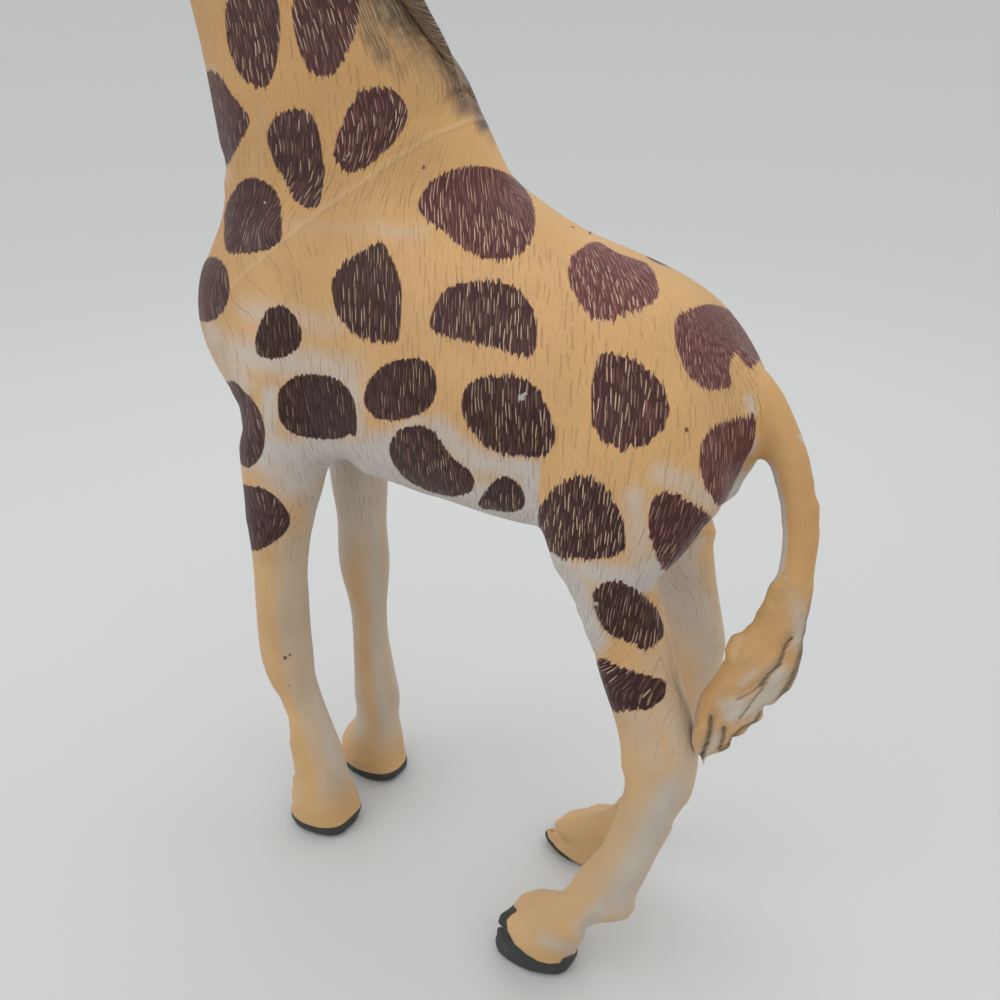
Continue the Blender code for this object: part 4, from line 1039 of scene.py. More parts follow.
def makeHairStrokes():
    # short tapered hairs, one in each cell, drawn along the hair
    floatKind, vectorKind = "NodeSocketFloat", "NodeSocketVector"
    tree, given, out = newGroup(
        "hairStrokes",
        [("Hair", vectorKind, None), ("Pitch", floatKind, 1.0), ("Length", floatKind, 5.0),
         ("Width", floatKind, 0.14), ("Bend", floatKind, 1.0)],
        [("Stroke", floatKind), ("Chance", floatKind)])
    parts = node(tree, "ShaderNodeSeparateXYZ")
    feed(tree, parts.inputs[0], given["Hair"])
    bend = minus(tree, noise(tree, given["Hair"], 0.14, 0.0), 0.5)
    across = plus(tree, parts.outputs[0], scaledBy(tree, bend, given["Bend"]))
    cell = node(tree, "ShaderNodeCombineXYZ")
    feed(tree, cell.inputs[0], maths(tree, "DIVIDE", across, given["Pitch"]))
    feed(tree, cell.inputs[1], maths(tree, "DIVIDE", parts.outputs[2], given["Length"]))
    voronoi = node(tree, "ShaderNodeTexVoronoi", voronoi_dimensions="2D")
    feed(tree, voronoi.inputs["Vector"], cell.outputs[0])
    voronoi.inputs["Scale"].default_value = 1.0
    voronoi.inputs["Randomness"].default_value = 0.85
    random = node(tree, "ShaderNodeSeparateColor")
    feed(tree, random.inputs[0], voronoi.outputs["Color"])
    offset = node(tree, "ShaderNodeSeparateXYZ")
    feed(tree, offset.inputs[0], vectorMaths(tree, "SUBTRACT", cell.outputs[0],
        voronoi.outputs["Position"]))
    along = scaledBy(tree, offset.outputs[1], given["Length"])
    lean = scaledBy(tree, minus(tree, random.outputs[1], 0.5), 0.22)
    beside = plus(tree, scaledBy(tree, offset.outputs[0], given["Pitch"]),
                   scaledBy(tree, along, lean))
    reach = maths(tree, "DIVIDE", along, scaledBy(tree, given["Length"], 0.46))
    taper = minus(tree, 1.0, scaledBy(tree, reach, reach), clamp=True)
    width = scaledBy(tree, given["Width"], maths(tree, "SQRT", taper))
    share = maths(tree, "DIVIDE", maths(tree, "ABSOLUTE", beside), maths(tree, "MAXIMUM", width, 0.01))
    stroke = scaledBy(tree, ramp(tree, share, 1.35, 0.35), ramp(tree, taper, 0.02, 0.3))
    feed(tree, out["Stroke"], stroke)
    feed(tree, out["Chance"], random.outputs[0])
    return tree


def makePlasticWear():
    # slow mottling, fine grain and rare dust specks of handled vinyl
    floatKind, vectorKind = "NodeSocketFloat", "NodeSocketVector"
    tree, given, out = newGroup(
        "plasticWear",
        [("Place", vectorKind, None), ("Mottle Size", floatKind, 14.0), ("Speck Share", floatKind, 0.02)],
        [("Mottle", floatKind), ("Grain", floatKind), ("Specks", floatKind)])
    size = maths(tree, "DIVIDE", 1000.0, given["Mottle Size"])
    feed(tree, out["Mottle"], noise(tree, given["Place"], size, 4.0, 0.6))
    feed(tree, out["Grain"], noise(tree, given["Place"], 2600.0, 3.0, 0.6))
    voronoi = node(tree, "ShaderNodeTexVoronoi")
    feed(tree, voronoi.inputs["Vector"], given["Place"])
    voronoi.inputs["Scale"].default_value = 330.0
    parts = node(tree, "ShaderNodeSeparateColor")
    feed(tree, parts.inputs[0], voronoi.outputs["Color"])
    dot = ramp(tree, voronoi.outputs["Distance"], 0.10, 0.05)
    rare = maths(tree, "LESS_THAN", parts.outputs[0], given["Speck Share"])
    feed(tree, out["Specks"], scaledBy(tree, dot, rare))
    return tree


hairStrokes = makeHairStrokes()
plasticWear = makePlasticWear()


def newMaterial(name):
    material = bpy.data.materials.new(name)
    material.use_nodes = True
    tree = material.node_tree
    return material, tree, tree.nodes["Principled BSDF"]


def bumped(tree, shader, height, distance=1.0 * mm):
    bump = node(tree, "ShaderNodeBump")
    bump.inputs["Strength"].default_value = 1.0
    bump.inputs["Distance"].default_value = distance
    feed(tree, bump.inputs["Height"], height)
    feed(tree, shader.inputs["Normal"], bump.outputs[0])


def signedNoise(tree, vector, scale, size, detail=2.0):
    # noise around zero, times a size
    return scaledBy(tree, minus(tree, noise(tree, vector, scale, detail), 0.5), size)


hide = {
    "yellow": (0.550, 0.327, 0.130, 1),
    "warmYellow": (0.585, 0.344, 0.150, 1),
    "ochre": (0.480, 0.268, 0.098, 1),
    "cream": (0.50, 0.463, 0.425, 1),
    "peach": (0.530, 0.340, 0.168, 1),
    "greyBeige": (0.47, 0.415, 0.345, 1),
    "maneShade": (0.065, 0.049, 0.034, 1),
    "darkBrown": (0.024, 0.008, 0.006, 1),
    "lightBrown": (0.105, 0.045, 0.034, 1),
    "darkPlum": (0.105, 0.031, 0.028, 1),
    "lightPlum": (0.33, 0.135, 0.12, 1),
    "streak": (0.66, 0.47, 0.31, 1),
    "groove": (0.33, 0.185, 0.075, 1),
    "speck": (0.05, 0.022, 0.012, 1),
    "inked": (0.045, 0.026, 0.018, 1),
    "hoof": (0.034, 0.038, 0.035, 1),
}


def makeHideMaterial():
    material, tree, shader = newMaterial("paintedHide")
    place = node(tree, "ShaderNodeTexCoord").outputs["Object"]
    wear = placed(tree, plasticWear, Place=place)
    hair = attribute(tree, "hair", True)
    hairs = placed(tree, hairStrokes, Hair=hair, Pitch=0.66, Length=3.1, Width=0.115, Bend=0.5)
    grooves = placed(tree, hairStrokes, Hair=vectorMaths(tree, "ADD", hair, (31.0, 0.0, 17.0)), Pitch=1.1,
                     Length=4.4, Width=0.12, Bend=0.7)
    hairy = attribute(tree, "hairy")
    fine = noise(tree, vectorMaths(tree, "MULTIPLY", hair, (2.1, 1.0, 0.20)), 1.0, 2.0, 0.6)
    teeth = noise(tree, vectorMaths(tree, "MULTIPLY", hair, (1.7, 1.0, 0.13)), 1.0, 0.0)

    # airbrushed ground
    warm = ramp(tree, noise(tree, place, 38.0, 3.0), 0.35, 0.7)
    colour = mixed(tree, warm, hide["yellow"], hide["warmYellow"])
    colour = mixed(tree, attribute(tree, "ochre"), colour, hide["ochre"])
    grainy = scaledBy(tree, minus(tree, wear["Mottle"], 0.5), 0.5)
    creamShare = ramp(tree, plus(tree, attribute(tree, "cream"), grainy), 0.08, 0.95)
    colour = mixed(tree, creamShare, colour, hide["cream"])
    peachShare = plus(tree, attribute(tree, "peach"), scaledBy(tree, grainy, 0.6))
    colour = mixed(tree, ramp(tree, peachShare, 0.0, 1.0), colour, hide["peach"])
    # grey-beige: airbrushed paint, and on the legs' rear sides partly painted shade
    colour = mixed(tree, attribute(tree, "greyed"), colour, hide["greyBeige"])
    shade = attribute(tree, "shade")
    shaded = plus(tree, shade, scaledBy(tree, minus(tree, fine, 0.5), 0.9))
    shaded = scaledBy(tree, ramp(tree, shaded, 0.10, 1.05), ramp(tree, shade, 0.0, 0.12))
    colour = mixed(tree, shaded, colour, hide["maneShade"])

    # painted shade darkens the engraved hair grooves, fine dark lines run along the hair, and a painted
    # highlight lightens the raised hairs
    few = ramp(tree, grooves["Chance"], 0.75, 0.2)
    groove = scaledBy(tree, scaledBy(tree, grooves["Stroke"], few), hairy)
    colour = mixed(tree, scaledBy(tree, groove, 0.30), colour, hide["groove"])
    fineShare = scaledBy(tree, ramp(tree, fine, 0.55, 0.78), scaledBy(tree, hairy, 0.16))
    colour = mixed(tree, fineShare, colour, hide["groove"])
    paler = scaledBy(tree, hairs["Stroke"], plus(tree, scaledBy(
        tree, hairy, 0.16), scaledBy(tree, shade, 0.30)))
    colour = mixed(tree, paler, colour, hide["streak"])

    # spots with toothed edges; some raised hairs are worn back to cream, and raised hairs carry painted
    # highlights
    streaks = attribute(tree, "spotStreaks")
    jag = minus(tree, scaledBy(tree, minus(tree, teeth, 0.5), 2.4),
                scaledBy(tree, minus(tree, hairs["Stroke"], 0.25), 0.55))
    jag = scaledBy(tree, jag, scaledBy(tree, attribute(tree, "spotSlope"), plus(
        tree, scaledBy(tree, streaks, 0.75), 0.40)))
    edge = plus(tree, attribute(tree, "spotAway"), jag)
    edge = plus(tree, edge, signedNoise(tree, place, 700.0, 0.3))
    spot = ramp(tree, edge, 0.17, -0.13)
    plum = attribute(tree, "spotPlum")
    # lighter brown along the raised hairs: painted highlight
    light = maths(tree, "MAXIMUM", scaledBy(tree, hairs["Stroke"], 0.85),
                  ramp(tree, fine, 0.50, 0.78, True, 0.0, 0.75))
    brown = mixed(tree, light, mixed(tree, plum, hide["darkBrown"], hide["darkPlum"]),
                  mixed(tree, plum, hide["lightBrown"], hide["lightPlum"]))
    chance = plus(tree, hairs["Chance"], signedNoise(tree, place, 90.0, 0.7))
    chance = plus(tree, chance, scaledBy(tree, streaks, 0.62))
    # cream on raised hairs: partly paint worn back to the ground, partly painted highlight
    bare = scaledBy(tree, ramp(tree, chance, 0.65, 1.55), hairs["Stroke"])
    brown = mixed(tree, scaledBy(tree, bare, 0.85), brown, hide["streak"])
    colour = mixed(tree, spot, colour, brown)

    # lips, nostrils and eye rims; dots, chips and dust
    colour = mixed(tree, ramp(tree, plus(tree, attribute(tree, "inked"), signedNoise(
        tree, place, 500.0, 0.3)), 0.25, 0.85), colour, hide["inked"])
    ragged = signedNoise(tree, place, 1100.0, 0.7)
    dot = ramp(tree, plus(tree, attribute(tree, "speckAway"), ragged), 0.12, -0.06)
    colour = mixed(tree, scaledBy(tree, dot, 0.85), colour, hide["speck"])
    chip = ramp(tree, plus(tree, attribute(tree, "chipAway"), ragged), 0.1, -0.1)
    colour = mixed(tree, scaledBy(tree, chip, 0.75), colour, hide["cream"])
    colour = mixed(tree, scaledBy(tree, wear["Specks"], 0.3), colour, hide["speck"])
    seamBend = signedNoise(tree, place, 45.0, 2.2)
    seam = maths(tree, "ABSOLUTE", plus(tree, attribute(tree, "seamAway"), seamBend))
    seamOn = ramp(tree, seam, 0.8, 0.1)
    seamOn = scaledBy(tree, seamOn, ramp(tree, spot, 0.9, 0.2))
    colour = mixed(tree, scaledBy(tree, seamOn, 0.20), colour, hide["streak"])
    tint = ramp(tree, wear["Mottle"], 0.3, 0.7, True, 0.94, 1.05)
    tintColour = node(tree, "ShaderNodeCombineColor")
    for index in range(3):
        feed(tree, tintColour.inputs[index], tint)
    colour = mixed(tree, 1.0, colour, tintColour.outputs[0], "MULTIPLY")
    black = ramp(tree, plus(tree, attribute(tree, "blackAway"), signedNoise(
        tree, place, 500.0, 0.25)), 0.12, -0.12)
    colour = mixed(tree, black, colour, hide["hoof"])
    feed(tree, shader.inputs["Base Color"], colour)

    rough = plus(tree, 0.52, scaledBy(tree, minus(
        tree, wear["Mottle"], 0.5), 0.25))
    feed(tree, shader.inputs["Roughness"], minus(tree, rough, scaledBy(
        tree, spot, 0.05), clamp=True))
    shader.inputs["Specular IOR Level"].default_value = 0.25

    # relief in millimetres
    relief = scaledBy(tree, groove, -0.09)
    relief = plus(tree, relief, scaledBy(tree, scaledBy(tree, minus(
        tree, fine, 0.5), hairy), 0.09))
    relief = plus(tree, relief, scaledBy(tree, scaledBy(
        tree, hairs["Stroke"], hairy), 0.05))
    relief = plus(tree, relief, scaledBy(tree, wear["Grain"], 0.012))
    relief = plus(tree, relief, scaledBy(tree, spot, 0.02))
    relief = plus(tree, relief, scaledBy(tree, seamOn, 0.12))
    relief = plus(tree, relief, scaledBy(tree, black, 0.05))
    bumped(tree, shader, relief)
    return material


def makeHoofMaterial():
    material, tree, shader = newMaterial("hoofBlack")
    place = node(tree, "ShaderNodeTexCoord").outputs["Object"]
    wear = placed(tree, plasticWear, Place=place, **{"Mottle Size": 5.0})
    dusty = ramp(tree, wear["Mottle"], 0.5, 0.85, True, 0.0, 0.3)
    colour = mixed(tree, dusty, hide["hoof"], (0.18, 0.18, 0.17, 1))
    colour = mixed(tree, scaledBy(tree, wear["Specks"], 0.6), colour, (0.4, 0.36, 0.3, 1))
    feed(tree, shader.inputs["Base Color"], colour)
    feed(tree, shader.inputs["Roughness"], ramp(tree, wear["Mottle"], 0.2, 0.8, True, 0.45, 0.7))
    shader.inputs["Specular IOR Level"].default_value = 0.35
    bumped(tree, shader, scaledBy(tree, wear["Grain"], 0.06))
    return material


def makeEyeMaterial():
    # dark glossy eye, mottled between two near-blacks
    material, tree, shader = newMaterial("glossyEye")
    place = node(tree, "ShaderNodeTexCoord").outputs["Object"]
    wear = placed(tree, plasticWear, Place=place, **{"Mottle Size": 1.2})
    ring = ramp(tree, wear["Mottle"], 0.3, 0.7)
    colour = mixed(tree, ring, (0.012, 0.006, 0.004, 1), (0.035, 0.014, 0.008, 1))
    feed(tree, shader.inputs["Base Color"], colour)
    feed(tree, shader.inputs["Roughness"], ramp(tree, wear["Grain"], 0.2, 0.8, True, 0.12, 0.2))
    shader.inputs["Coat Weight"].default_value = 0.6
    shader.inputs["Coat Roughness"].default_value = 0.05
    bumped(tree, shader, scaledBy(tree, wear["Grain"], 0.004))
    return material


hideMaterial, hoofMaterial, eyeMaterial = makeHideMaterial(), makeHoofMaterial(), makeEyeMaterial()


pieceSlots = {
    "torso": "vinyl_yellow", "hindquarters": "vinyl_yellow", "neck": "vinyl_yellow",
    "head": "vinyl_yellow", "tail": "vinyl_yellow", "tail_tuft": "vinyl_cream",
    "fore_leg_left": "vinyl_cream",
    "fore_leg_right": "vinyl_cream", "hind_leg_left": "vinyl_cream",
    "hind_leg_right": "vinyl_cream", "hoof_sole_fore_left": "hoof_black",
    "hoof_sole_fore_right": "hoof_black", "hoof_sole_hind_left": "hoof_black",
    "hoof_sole_hind_right": "hoof_black",
}
def centresOf(mesh):
    flat = np.empty(len(mesh.polygons) * 3, np.float32)
    mesh.polygons.foreach_get("center", flat)
    return flat.reshape(-1, 3) / mm + planOrigin


def cutSkin(mesh, cuts):
    # adds edges where the mouldings' planes cross the skin
    centres = centresOf(mesh)
    work = bmesh.new()
    work.from_mesh(mesh)
    work.faces.ensure_lookup_table()
    chosen = [(plane, [work.faces[i] for i in np.flatnonzero((np.abs(ahead(centres, plane)) < 3)
                                                            & test(*centres.T))])
              for plane, test in cuts]
    for plane, faces in chosen:
        edges = list({e for f in faces for e in f.edges})
        verts = list({v for f in faces for v in f.verts})
        bmesh.ops.bisect_plane(work, geom=faces + edges + verts, dist=1e-7, plane_no=Vector(plane[1]),
                               plane_co=(Vector(plane[0]) - Vector(planOrigin)) * mm)
    work.to_mesh(mesh)
    work.free()


def besideFaces(mesh):
    # pairs of faces that share an edge
    edges, totals = np.empty(len(mesh.loops), np.int32), np.empty(len(mesh.polygons), np.int32)
    mesh.loops.foreach_get("edge_index", edges)
    mesh.polygons.foreach_get("loop_total", totals)
    owner = np.repeat(np.arange(len(totals)), totals)
    order = np.argsort(edges, kind="stable")
    shared = edges[order][1:] == edges[order][:-1]
    return owner[order][:-1][shared], owner[order][1:][shared]


def withoutEars(mesh, labels, rounds=8):
    # gives faces held by one edge of their label to the piece around them
    one, two = besideFaces(mesh)
    for _ in range(rounds):
        same = labels[one] == labels[two]
        own = np.bincount(one[same], minlength=len(labels)) + np.bincount(two[same], minlength=len(labels))
        ears, former = own <= 1, labels.copy()
        for a, b in ((one, two), (two, one)):
            edge = ears[a] & (former[a] != former[b])
            labels[a[edge]] = former[b[edge]]
        if (labels == former).all():
            break
    return labels


def closeHoles(part):
    # closes each hole with a fan of flat faces from its middle
    part.verts.index_update()
    part.edges.index_update()
    waiting = {e.index: e for e in part.edges if e.is_boundary}
    holes = []
    while waiting:
        ring, front = [], [waiting.pop(next(iter(waiting)))]
        while front:
            edge = front.pop()
            ring.append(edge)
            for other in [o for v in edge.verts for o in v.link_edges]:
                if other.index in waiting:
                    front.append(waiting.pop(other.index))
        holes.append(ring)
    for ring in holes:
        corners = {v.index: v.co.copy() for e in ring for v in e.verts}
        middle = part.verts.new(sum(corners.values(), Vector()) / len(corners))
        for edge in ring:
            loop = edge.link_loops[0]
            part.faces.new((loop.link_loop_next.vert, loop.vert, middle)).smooth = False


def splitSkin(mesh):
    # parts the skin into the mouldings and closes each
    up = (0, 0, 1)
    cutSkin(mesh, [(neckSeam, lambda x, y, z: z > 110), (headSeam, lambda x, y, z: z > 235),
                   (flankSeam, lambda x, y, z: z > hindCut - 3),
                   (((0, 0, soleTop), up), lambda x, y, z: z < 9),
                   (((0, 0, 0), (0, 1, 0)), lambda x, y, z: (z > foreCut - 8) & (z < hindCut)),
                   (tailRoot, lambda x, y, z: (x > 93) & (z > 136)),
                   (tuftTop, lambda x, y, z: (x > 104) & (z > 104) & (z < 120))])
    cutSkin(mesh, [(((0, 0, foreCut), up), lambda x, y, z: x < legSplit),
                   (((0, 0, hindCut), up), lambda x, y, z: (x > legSplit) & (x < 99))])
    centres = centresOf(mesh)
    x, y, z = centres.T
    left = y < 0
    fore, hind = (x < legSplit) & (z < foreCut), (x >= legSplit) & (z < hindCut)
    labels = np.full(len(centres), "torso", dtype=object)
    labels[x > flankSeam[0][0]] = "hindquarters"
    labels[(ahead(centres, neckSeam) > 0) & (z > 110)] = "neck"
    labels[(ahead(centres, headSeam) > 0) & (z > 230)] = "head"
    for end, inside in (("fore", fore), ("hind", hind)):
        for word, onSide in (("left", left), ("right", ~left)):
            labels[inside & onSide] = end + "_leg_" + word
            labels[inside & onSide & (z < soleTop)] = "hoof_sole_" + end + "_" + word
    corners = np.empty(len(mesh.loops), np.int32)
    starts = np.empty(len(mesh.polygons), np.int32)
    mesh.loops.foreach_get("vertex_index", corners)
    mesh.polygons.foreach_get("loop_start", starts)
    lowTail = (floatOf(mesh, "tailShare")[corners[starts]] > 0.5) & (z < 136)
    labels[lowTail | ((ahead(centres, tailRoot) > 0) & (tailDistance(centres) < 6.2) & (x > 97)
                      & (z > 128))] = "tail"
    labels[lowTail & (ahead(centres, tuftTop) > 0)] = "tail_tuft"
    labels = withoutEars(mesh, labels)
    whole = bmesh.new()
    whole.from_mesh(mesh)
    made = {}
    for name in pieceSlots:
        part = whole.copy()
        part.faces.ensure_lookup_table()
        drop = [part.faces[i] for i in np.flatnonzero(labels != name)]
        bmesh.ops.delete(part, geom=drop, context="FACES")
        for face in part.faces:
            face.smooth = True
        closeHoles(part)
        held = bpy.data.meshes.new(name + "_skin")
        part.to_mesh(held)
        part.free()
        made[name] = held
    whole.free()
    return made


def keepNormals(mesh):
    # shades each part as the whole skin was shaded, and its cut faces flat
    normals = np.empty(len(mesh.vertices) * 3, np.float32)
    mesh.attributes["skinNormal"].data.foreach_get("vector", normals)
    corners = np.empty(len(mesh.loops), np.int32)
    mesh.loops.foreach_get("vertex_index", corners)
    count = len(mesh.polygons)
    smoothFaces, starts, totals = np.empty(count, bool), np.empty(count, np.int32), np.empty(count,
        np.int32)
    mesh.polygons.foreach_get("use_smooth", smoothFaces)
    mesh.polygons.foreach_get("loop_start", starts)
    mesh.polygons.foreach_get("loop_total", totals)
    cornerNormals = normals.reshape(-1, 3)[corners]
    for index in np.flatnonzero(~smoothFaces):
        cornerNormals[starts[index]:starts[index] + totals[index]] = mesh.polygons[index].normal
    mesh.polygons.foreach_set("use_smooth", np.ones(count, bool))
    mesh.normals_split_custom_set(cornerNormals.tolist())


def standIn(thing, name, slot, *finishes):
    # puts a piece in a CAD node's place, with its own finish
    thing.data.materials.clear()
    for finish in finishes:
        thing.data.materials.append(finish)
    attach(thing, "root")
    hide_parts(name)


for name, mesh in splitSkin(skin).items():
    keepNormals(mesh)
    blackOnly = name.startswith("hoof") and name != "hoof_sole_hind_right"
    standIn(addObject(name + "_moulding", mesh), name, pieceSlots[name],
            hoofMaterial if blackOnly else hideMaterial)
print("mouldings parted")


def addLock(work, path, radii, sides=9, flat=1.0, flatWay=(0, 0, 1)):
    # a closed, tapered strand along a path, in plan millimetres
    rings = []
    for index, point in enumerate(path):
        way = Vector(path[min(index + 1, len(path) - 1)]) - Vector(path[max(index - 1, 0)])
        way.normalize()
        side = way.cross(Vector(flatWay)).normalized()
        other = side.cross(way).normalized()
        ring = []
        for step in range(sides):
            angle = math.tau * step / sides
            place = Vector(point) + side * math.cos(angle) * radii[index] * flat + (
                other * math.sin(angle) * radii[index])
            ring.append(work.verts.new((place - Vector(planOrigin)) * mm))
        rings.append(ring)
    for first, second in zip(rings, rings[1:]):
        for step in range(sides):
            after = (step + 1) % sides
            work.faces.new((first[step], first[after], second[after], second[step]))
    work.faces.new(rings[0][::-1])
    work.faces.new(rings[-1])


def fused(work, voxel, rounds):
    # melts overlapping strands into one closed mesh
    bmesh.ops.recalc_face_normals(work, faces=work.faces)
    mesh = bpy.data.meshes.new("fused")
    work.to_mesh(mesh)
    work.free()
    mesh = remeshed(mesh, voxel)
    keepOuter(mesh)
    movePoints(mesh, relax(pointsOf(mesh), edgesOf(mesh), rounds))
    mesh.polygons.foreach_set("use_smooth", np.ones(len(mesh.polygons), bool))
    return mesh


mane = {"low": 184.0, "high": 262.0, "locks": 118, "length": 4.0, "seed": 11}


def makeMane():
    rng = np.random.default_rng(mane["seed"])
    levels, rows = neckTable
    height = lambda z: np.interp(z, levels, rows[:, 1])

    def napeAt(share):
        z = mane["low"] + share * (mane["high"] - mane["low"])
        x = height(z)
        slope = (height(z + 2) - height(z - 2)) / 4
        up = Vector((slope, 0, 1)).normalized()
        return Vector((x, 0, z)), up, Vector((up.z, 0, -up.x))

    work = bmesh.new()
    crest, radii = [], []
    for index in range(40):
        share = index / 39
        place, up, out = napeAt(share)
        swell = min(1, 0.12 + share * 3.2, 0.45 + (1 - share) * 7)
        crest.append(place + out * (-0.9 + 1.9 * swell))
        radii.append(3.0 * swell)
    addLock(work, crest, radii, 12, 0.62, (1, 0, 0.4))
    for index in range(mane["locks"]):
        share = (index + rng.uniform(-0.3, 0.3) + 0.5) / mane["locks"]
        place, up, out = napeAt(share)
        swell = min(1, share * 3.2, 0.5 + (1 - share) * 6) * rng.uniform(0.88, 1.06)
        side = (-1 if index % 2 else 1) * rng.uniform(0.1, 0.8)
        root = place - out * (2.0 - 1.4 * min(1, share * 9)) + Vector((0, side, 0))
        length = mane["length"] * swell + 0.5
        path = [root + out * length * t * (1 - 0.25 * t) - up * length * (0.15 + 0.65 * t) * t
                + Vector((0, side * 0.25 * t, 0)) for t in (0, 0.25, 0.5, 0.75, 0.92, 1.0)]
        thick = 0.45 + 0.55 * swell
        addLock(work, path, [w * thick for w in (1.0, 1.05, 1.0, 0.85, 0.55, 0.3)], 8, 0.75, tuple(up))
    mesh = fused(work, 0.42 * mm, 2)
    plan = pointsOf(mesh) / mm + planOrigin
    out = plan[:, 0] - np.interp(plan[:, 2], levels, rows[:, 1])
    hair = np.stack([1.2 * plan[:, 2] + 0.8 * out, np.zeros(len(out)), 1.0 * out + plan[:, 1]], 1)
    shade = 0.85 + 0.25 * smooth(0.5, 2.5, out)
    paint(mesh, hair, shade=shade, ochre=0.9, hairy=1.0)
    standIn(addObject("mane_crest", mesh), "mane", "mane_brown", hideMaterial)


makeMane()
print("mane made")


ear = {"length": 15.0, "width": 6.4, "thickness": 0.75, "cup": 1.5,
       "outline": [(-0.14, 0.34), (0.0, 0.42), (0.2, 0.74), (0.45, 1.0), (0.7, 0.82), (0.88, 0.48),
                   (0.97, 0.18)]}


def makeEar(name, side):
    root = Vector(headPlace(0.01, 0.06, side * 0.30))
    tipWay = Vector((0.34, side * 0.88, 0.34)).normalized()
    flatWay = tipWay.cross(Vector((-1, 0, 0.25))).normalized()
    openWay = flatWay.cross(tipWay).normalized()
    if openWay.x > 0:
        openWay = -openWay
    rowCount, columnCount = 15, 11
    shares = np.linspace(ear["outline"][0][0], ear["outline"][-1][0], rowCount)
    spread = np.interp(shares, *zip(*ear["outline"]))
    work = bmesh.new()
    sheets, amounts = [], {}
    for layer in (0, 1):
        sheet = []
        for t, wide in zip(shares, spread):
            row = []
            for column in range(columnCount):
                s = -1 + 2 * column / (columnCount - 1)
                cupped = ear["cup"] * (1 - s * s) * wide * smooth(-0.1, 0.25, t)
                thick = ear["thickness"] * (0.35 + 0.65 * (1 - s * s)) + 1.5 * smooth(0.2, -0.1, t)
                place = (root + tipWay * t * ear["length"] + flatWay * s * wide * ear["width"] / 2
                         - openWay * (cupped - 0.8 * wide) + openWay * (thick / 2 if layer else -thick / 2))
                vertex = work.verts.new((place - Vector(planOrigin)) * mm)
                row.append(vertex)
                amounts[vertex] = (layer * (1 - abs(s) ** 3) * float(smooth(0.05, 0.3, t)), float(t), s)
            sheet.append(row)
        sheets.append(sheet)
    outer, inner = sheets
    for i in range(rowCount - 1):
        for j in range(columnCount - 1):
            work.faces.new((outer[i][j], outer[i][j + 1], outer[i + 1][j + 1], outer[i + 1][j]))
            work.faces.new((inner[i][j], inner[i + 1][j], inner[i + 1][j + 1], inner[i][j + 1]))
        for j, flip in ((0, False), (columnCount - 1, True)):
            rim = [outer[i][j], outer[i + 1][j], inner[i + 1][j], inner[i][j]]
            work.faces.new(rim[::-1] if flip else rim)
    for j in range(columnCount - 1):
        work.faces.new((outer[0][j], inner[0][j], inner[0][j + 1], outer[0][j + 1]))
        work.faces.new((outer[-1][j], outer[-1][j + 1], inner[-1][j + 1], inner[-1][j]))
    bmesh.ops.recalc_face_normals(work, faces=work.faces)
    work.verts.index_update()
    values = np.array([amounts[v] for v in work.verts])
    mesh = bpy.data.meshes.new(name)
    work.to_mesh(mesh)
    work.free()
    hair = np.stack([values[:, 2] * ear["width"] / 2, np.zeros(len(values)), values[:,
        1] * ear["length"]], 1)
    edgeShade = 0.55 * smooth(0.75, 1.0, values[:, 1])
    # darker ear tips, and painted shade deep inside the cup near the root
    paint(mesh, hair, cream=values[:, 0], ochre=0.6, shade=np.maximum(
        edgeShade, 0.35 * values[:, 0] * smooth(0.5, 0.1, values[:, 1])), hairy=0.7)
    mesh = subdivided(subdivided(mesh))
    mesh.polygons.foreach_set("use_smooth", np.ones(len(mesh.polygons), bool))
    standIn(addObject(name + "_cup", mesh), name, "vinyl_yellow", hideMaterial)


horn = {"length": 15.0, "knob": 2.55, "seed": 4,
        "profile": [(-0.06, 0.95), (0.0, 0.92), (0.3, 0.80), (0.6, 0.67), (0.74, 0.72), (0.84, 0.86),
                    (0.93, 0.95), (0.975, 0.78), (0.995, 0.42)]}


def makeHorn(name, side):
    rng = np.random.default_rng(horn["seed"] + side)
    root = Vector(headPlace(0.12, 0.20, side * 0.19))
    way = Vector((0.16, side * 0.16, 1)).normalized()
    one = way.orthogonal().normalized()
    two = way.cross(one)
    work = bmesh.new()
    addLock(work, [root + way * t * horn["length"] for t, _ in horn["profile"]],
            [spread * horn["knob"] for _, spread in horn["profile"]], 20, 1.0, (1, 0, 0))
    for index in range(26):  # short hair round the knob
        angle = math.tau * index / 13 + rng.uniform(-0.15, 0.15)
        out = one * math.cos(angle) + two * math.sin(angle)
        level = (0.84 if index < 13 else 0.76) + rng.uniform(-0.02, 0.02)
        start = root + way * level * horn["length"] + out * horn["knob"] * 0.62
        path = [start + out * 0.5 * t - way * (0.2 - 2.6 * t) * 0.8 for t in (0, 0.4, 0.75, 1.0)]
        addLock(work, path, [0.62, 0.62, 0.45, 0.2], 6, 1.0, tuple(two))
    mesh = fused(work, 0.34 * mm, 2)
    plan = pointsOf(mesh) / mm + planOrigin
    offset = plan - np.array(root)
    along = offset @ np.array(way) / horn["length"]
    angle = np.arctan2(offset @ np.array(two), offset @ np.array(one))
    hair = np.stack([2.2 * angle, np.zeros(len(angle)), along * 15], 1)
    paint(mesh, hair, ochre=0.7, inked=1.3 * smooth(0.60, 0.80, along), hairy=0.8,
          shade=0.4 * smooth(0.2, 0.6, along))
    standIn(addObject(name + "_knob", mesh), name, "spot_brown", hideMaterial)


eye = {"pupilRise": 0.035, "gaze": (-0.45, 0.88, 0.1)}


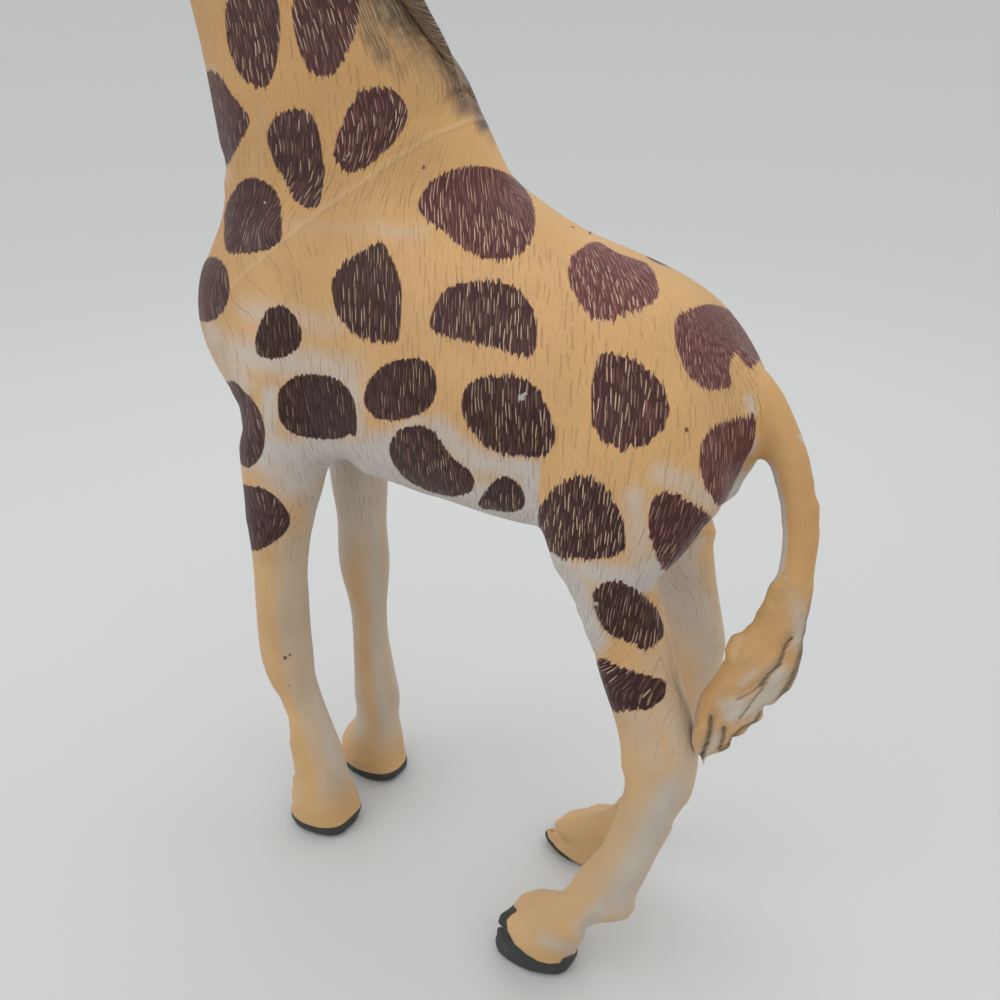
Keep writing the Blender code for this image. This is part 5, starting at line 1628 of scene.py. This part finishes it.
def makeEye(name, side):
    # a round eye that rises a little over its pupil
    given = pointsOf(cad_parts[name].data)
    middle, reach = (given.max(0) + given.min(0)) / 2, (given.max(0) - given.min(0)) / 2
    work = bmesh.new()
    bmesh.ops.create_icosphere(work, subdivisions=5, radius=1.0)
    mesh = bpy.data.meshes.new(name)
    work.to_mesh(mesh)
    work.free()
    unitBall = pointsOf(mesh)
    rise = smooth(0.78, 0.92, unitBall @ (np.array(eye["gaze"]) * (1, side, 1))) * eye["pupilRise"]
    movePoints(mesh, middle + unitBall * reach * (1 + rise)[:, None])
    mesh.polygons.foreach_set("use_smooth", np.ones(len(mesh.polygons), bool))
    standIn(addObject(name + "_ball", mesh), name, "eye_black", eyeMaterial)


for word, side in (("left", -1), ("right", 1)):
    makeEar("ear_" + word, side)
    makeHorn("horn_" + word, side)
    makeEye("eye_" + word, side)
print("ears, horns and eyes made")


stage = {
    "floorColour": (0.575, 0.58, 0.575, 1),
    "floorFalloffShade": (0.50, 0.505, 0.50, 1),
    "ambient": 0.95,
    "keyPower": 2.3,
    "overheadPower": 2.7,
}


def makeStage():
    floorMesh = bpy.data.meshes.new("floor")
    work = bmesh.new()
    bmesh.ops.create_grid(work, x_segments=1, y_segments=1, size=5.0)
    work.to_mesh(floorMesh)
    work.free()
    floor = addObject("floor", floorMesh)
    material, tree, shader = newMaterial("paleTable")
    place = node(tree, "ShaderNodeTexCoord").outputs["Object"]
    # the floor is painted darker away from the figure: a painted falloff of light
    away = vectorMaths(tree, "LENGTH", vectorMaths(tree, "SUBTRACT", place, (-0.02, 0.05, 0.0)))
    feed(tree, shader.inputs["Base Color"], mixed(tree, ramp(tree, away, 0.12, 0.55),
         stage["floorColour"], stage["floorFalloffShade"]))
    shader.inputs["Roughness"].default_value = 0.6
    shader.inputs["Specular IOR Level"].default_value = 0.3
    floorMesh.materials.append(material)

    world = bpy.data.worlds.new("softbox")
    bpy.context.scene.world = world
    world.use_nodes = True
    background = world.node_tree.nodes["Background"]
    background.inputs["Color"].default_value = (0.98, 0.99, 1.0, 1)
    background.inputs["Strength"].default_value = stage["ambient"]

    for name, place, size, power in (
            ("key", (-0.60, -0.90, 0.70), 0.9, stage["keyPower"]),
            ("overhead", (0.15, 0.20, 1.20), 1.2, stage["overheadPower"])):
        lamp = bpy.data.lights.new(name, "AREA")
        lamp.shape = "DISK"
        lamp.size = size
        lamp.energy = power
        thing = bpy.data.objects.new(name, lamp)
        bpy.context.scene.collection.objects.link(thing)
        thing.location = place
        thing.rotation_euler = (Vector((0, 0, 0.12)) - Vector(place)).to_track_quat("-Z", "Y").to_euler()

    camera = bpy.data.cameras.new("photoView")
    camera.sensor_width = 36
    camera.lens = 36 * view["focal"] / 1000
    camera.clip_start, camera.clip_end = 0.01, 20
    thing = bpy.data.objects.new("photoView", camera)
    bpy.context.scene.collection.objects.link(thing)
    matrix = Matrix((sideWay, upWay, -lookWay)).transposed().to_4x4()
    matrix.translation = Vector(view["place"])
    thing.matrix_world = matrix
    bpy.context.scene.camera = thing
    bpy.context.scene.view_settings.view_transform = "Standard"


makeStage()
print("stage set")
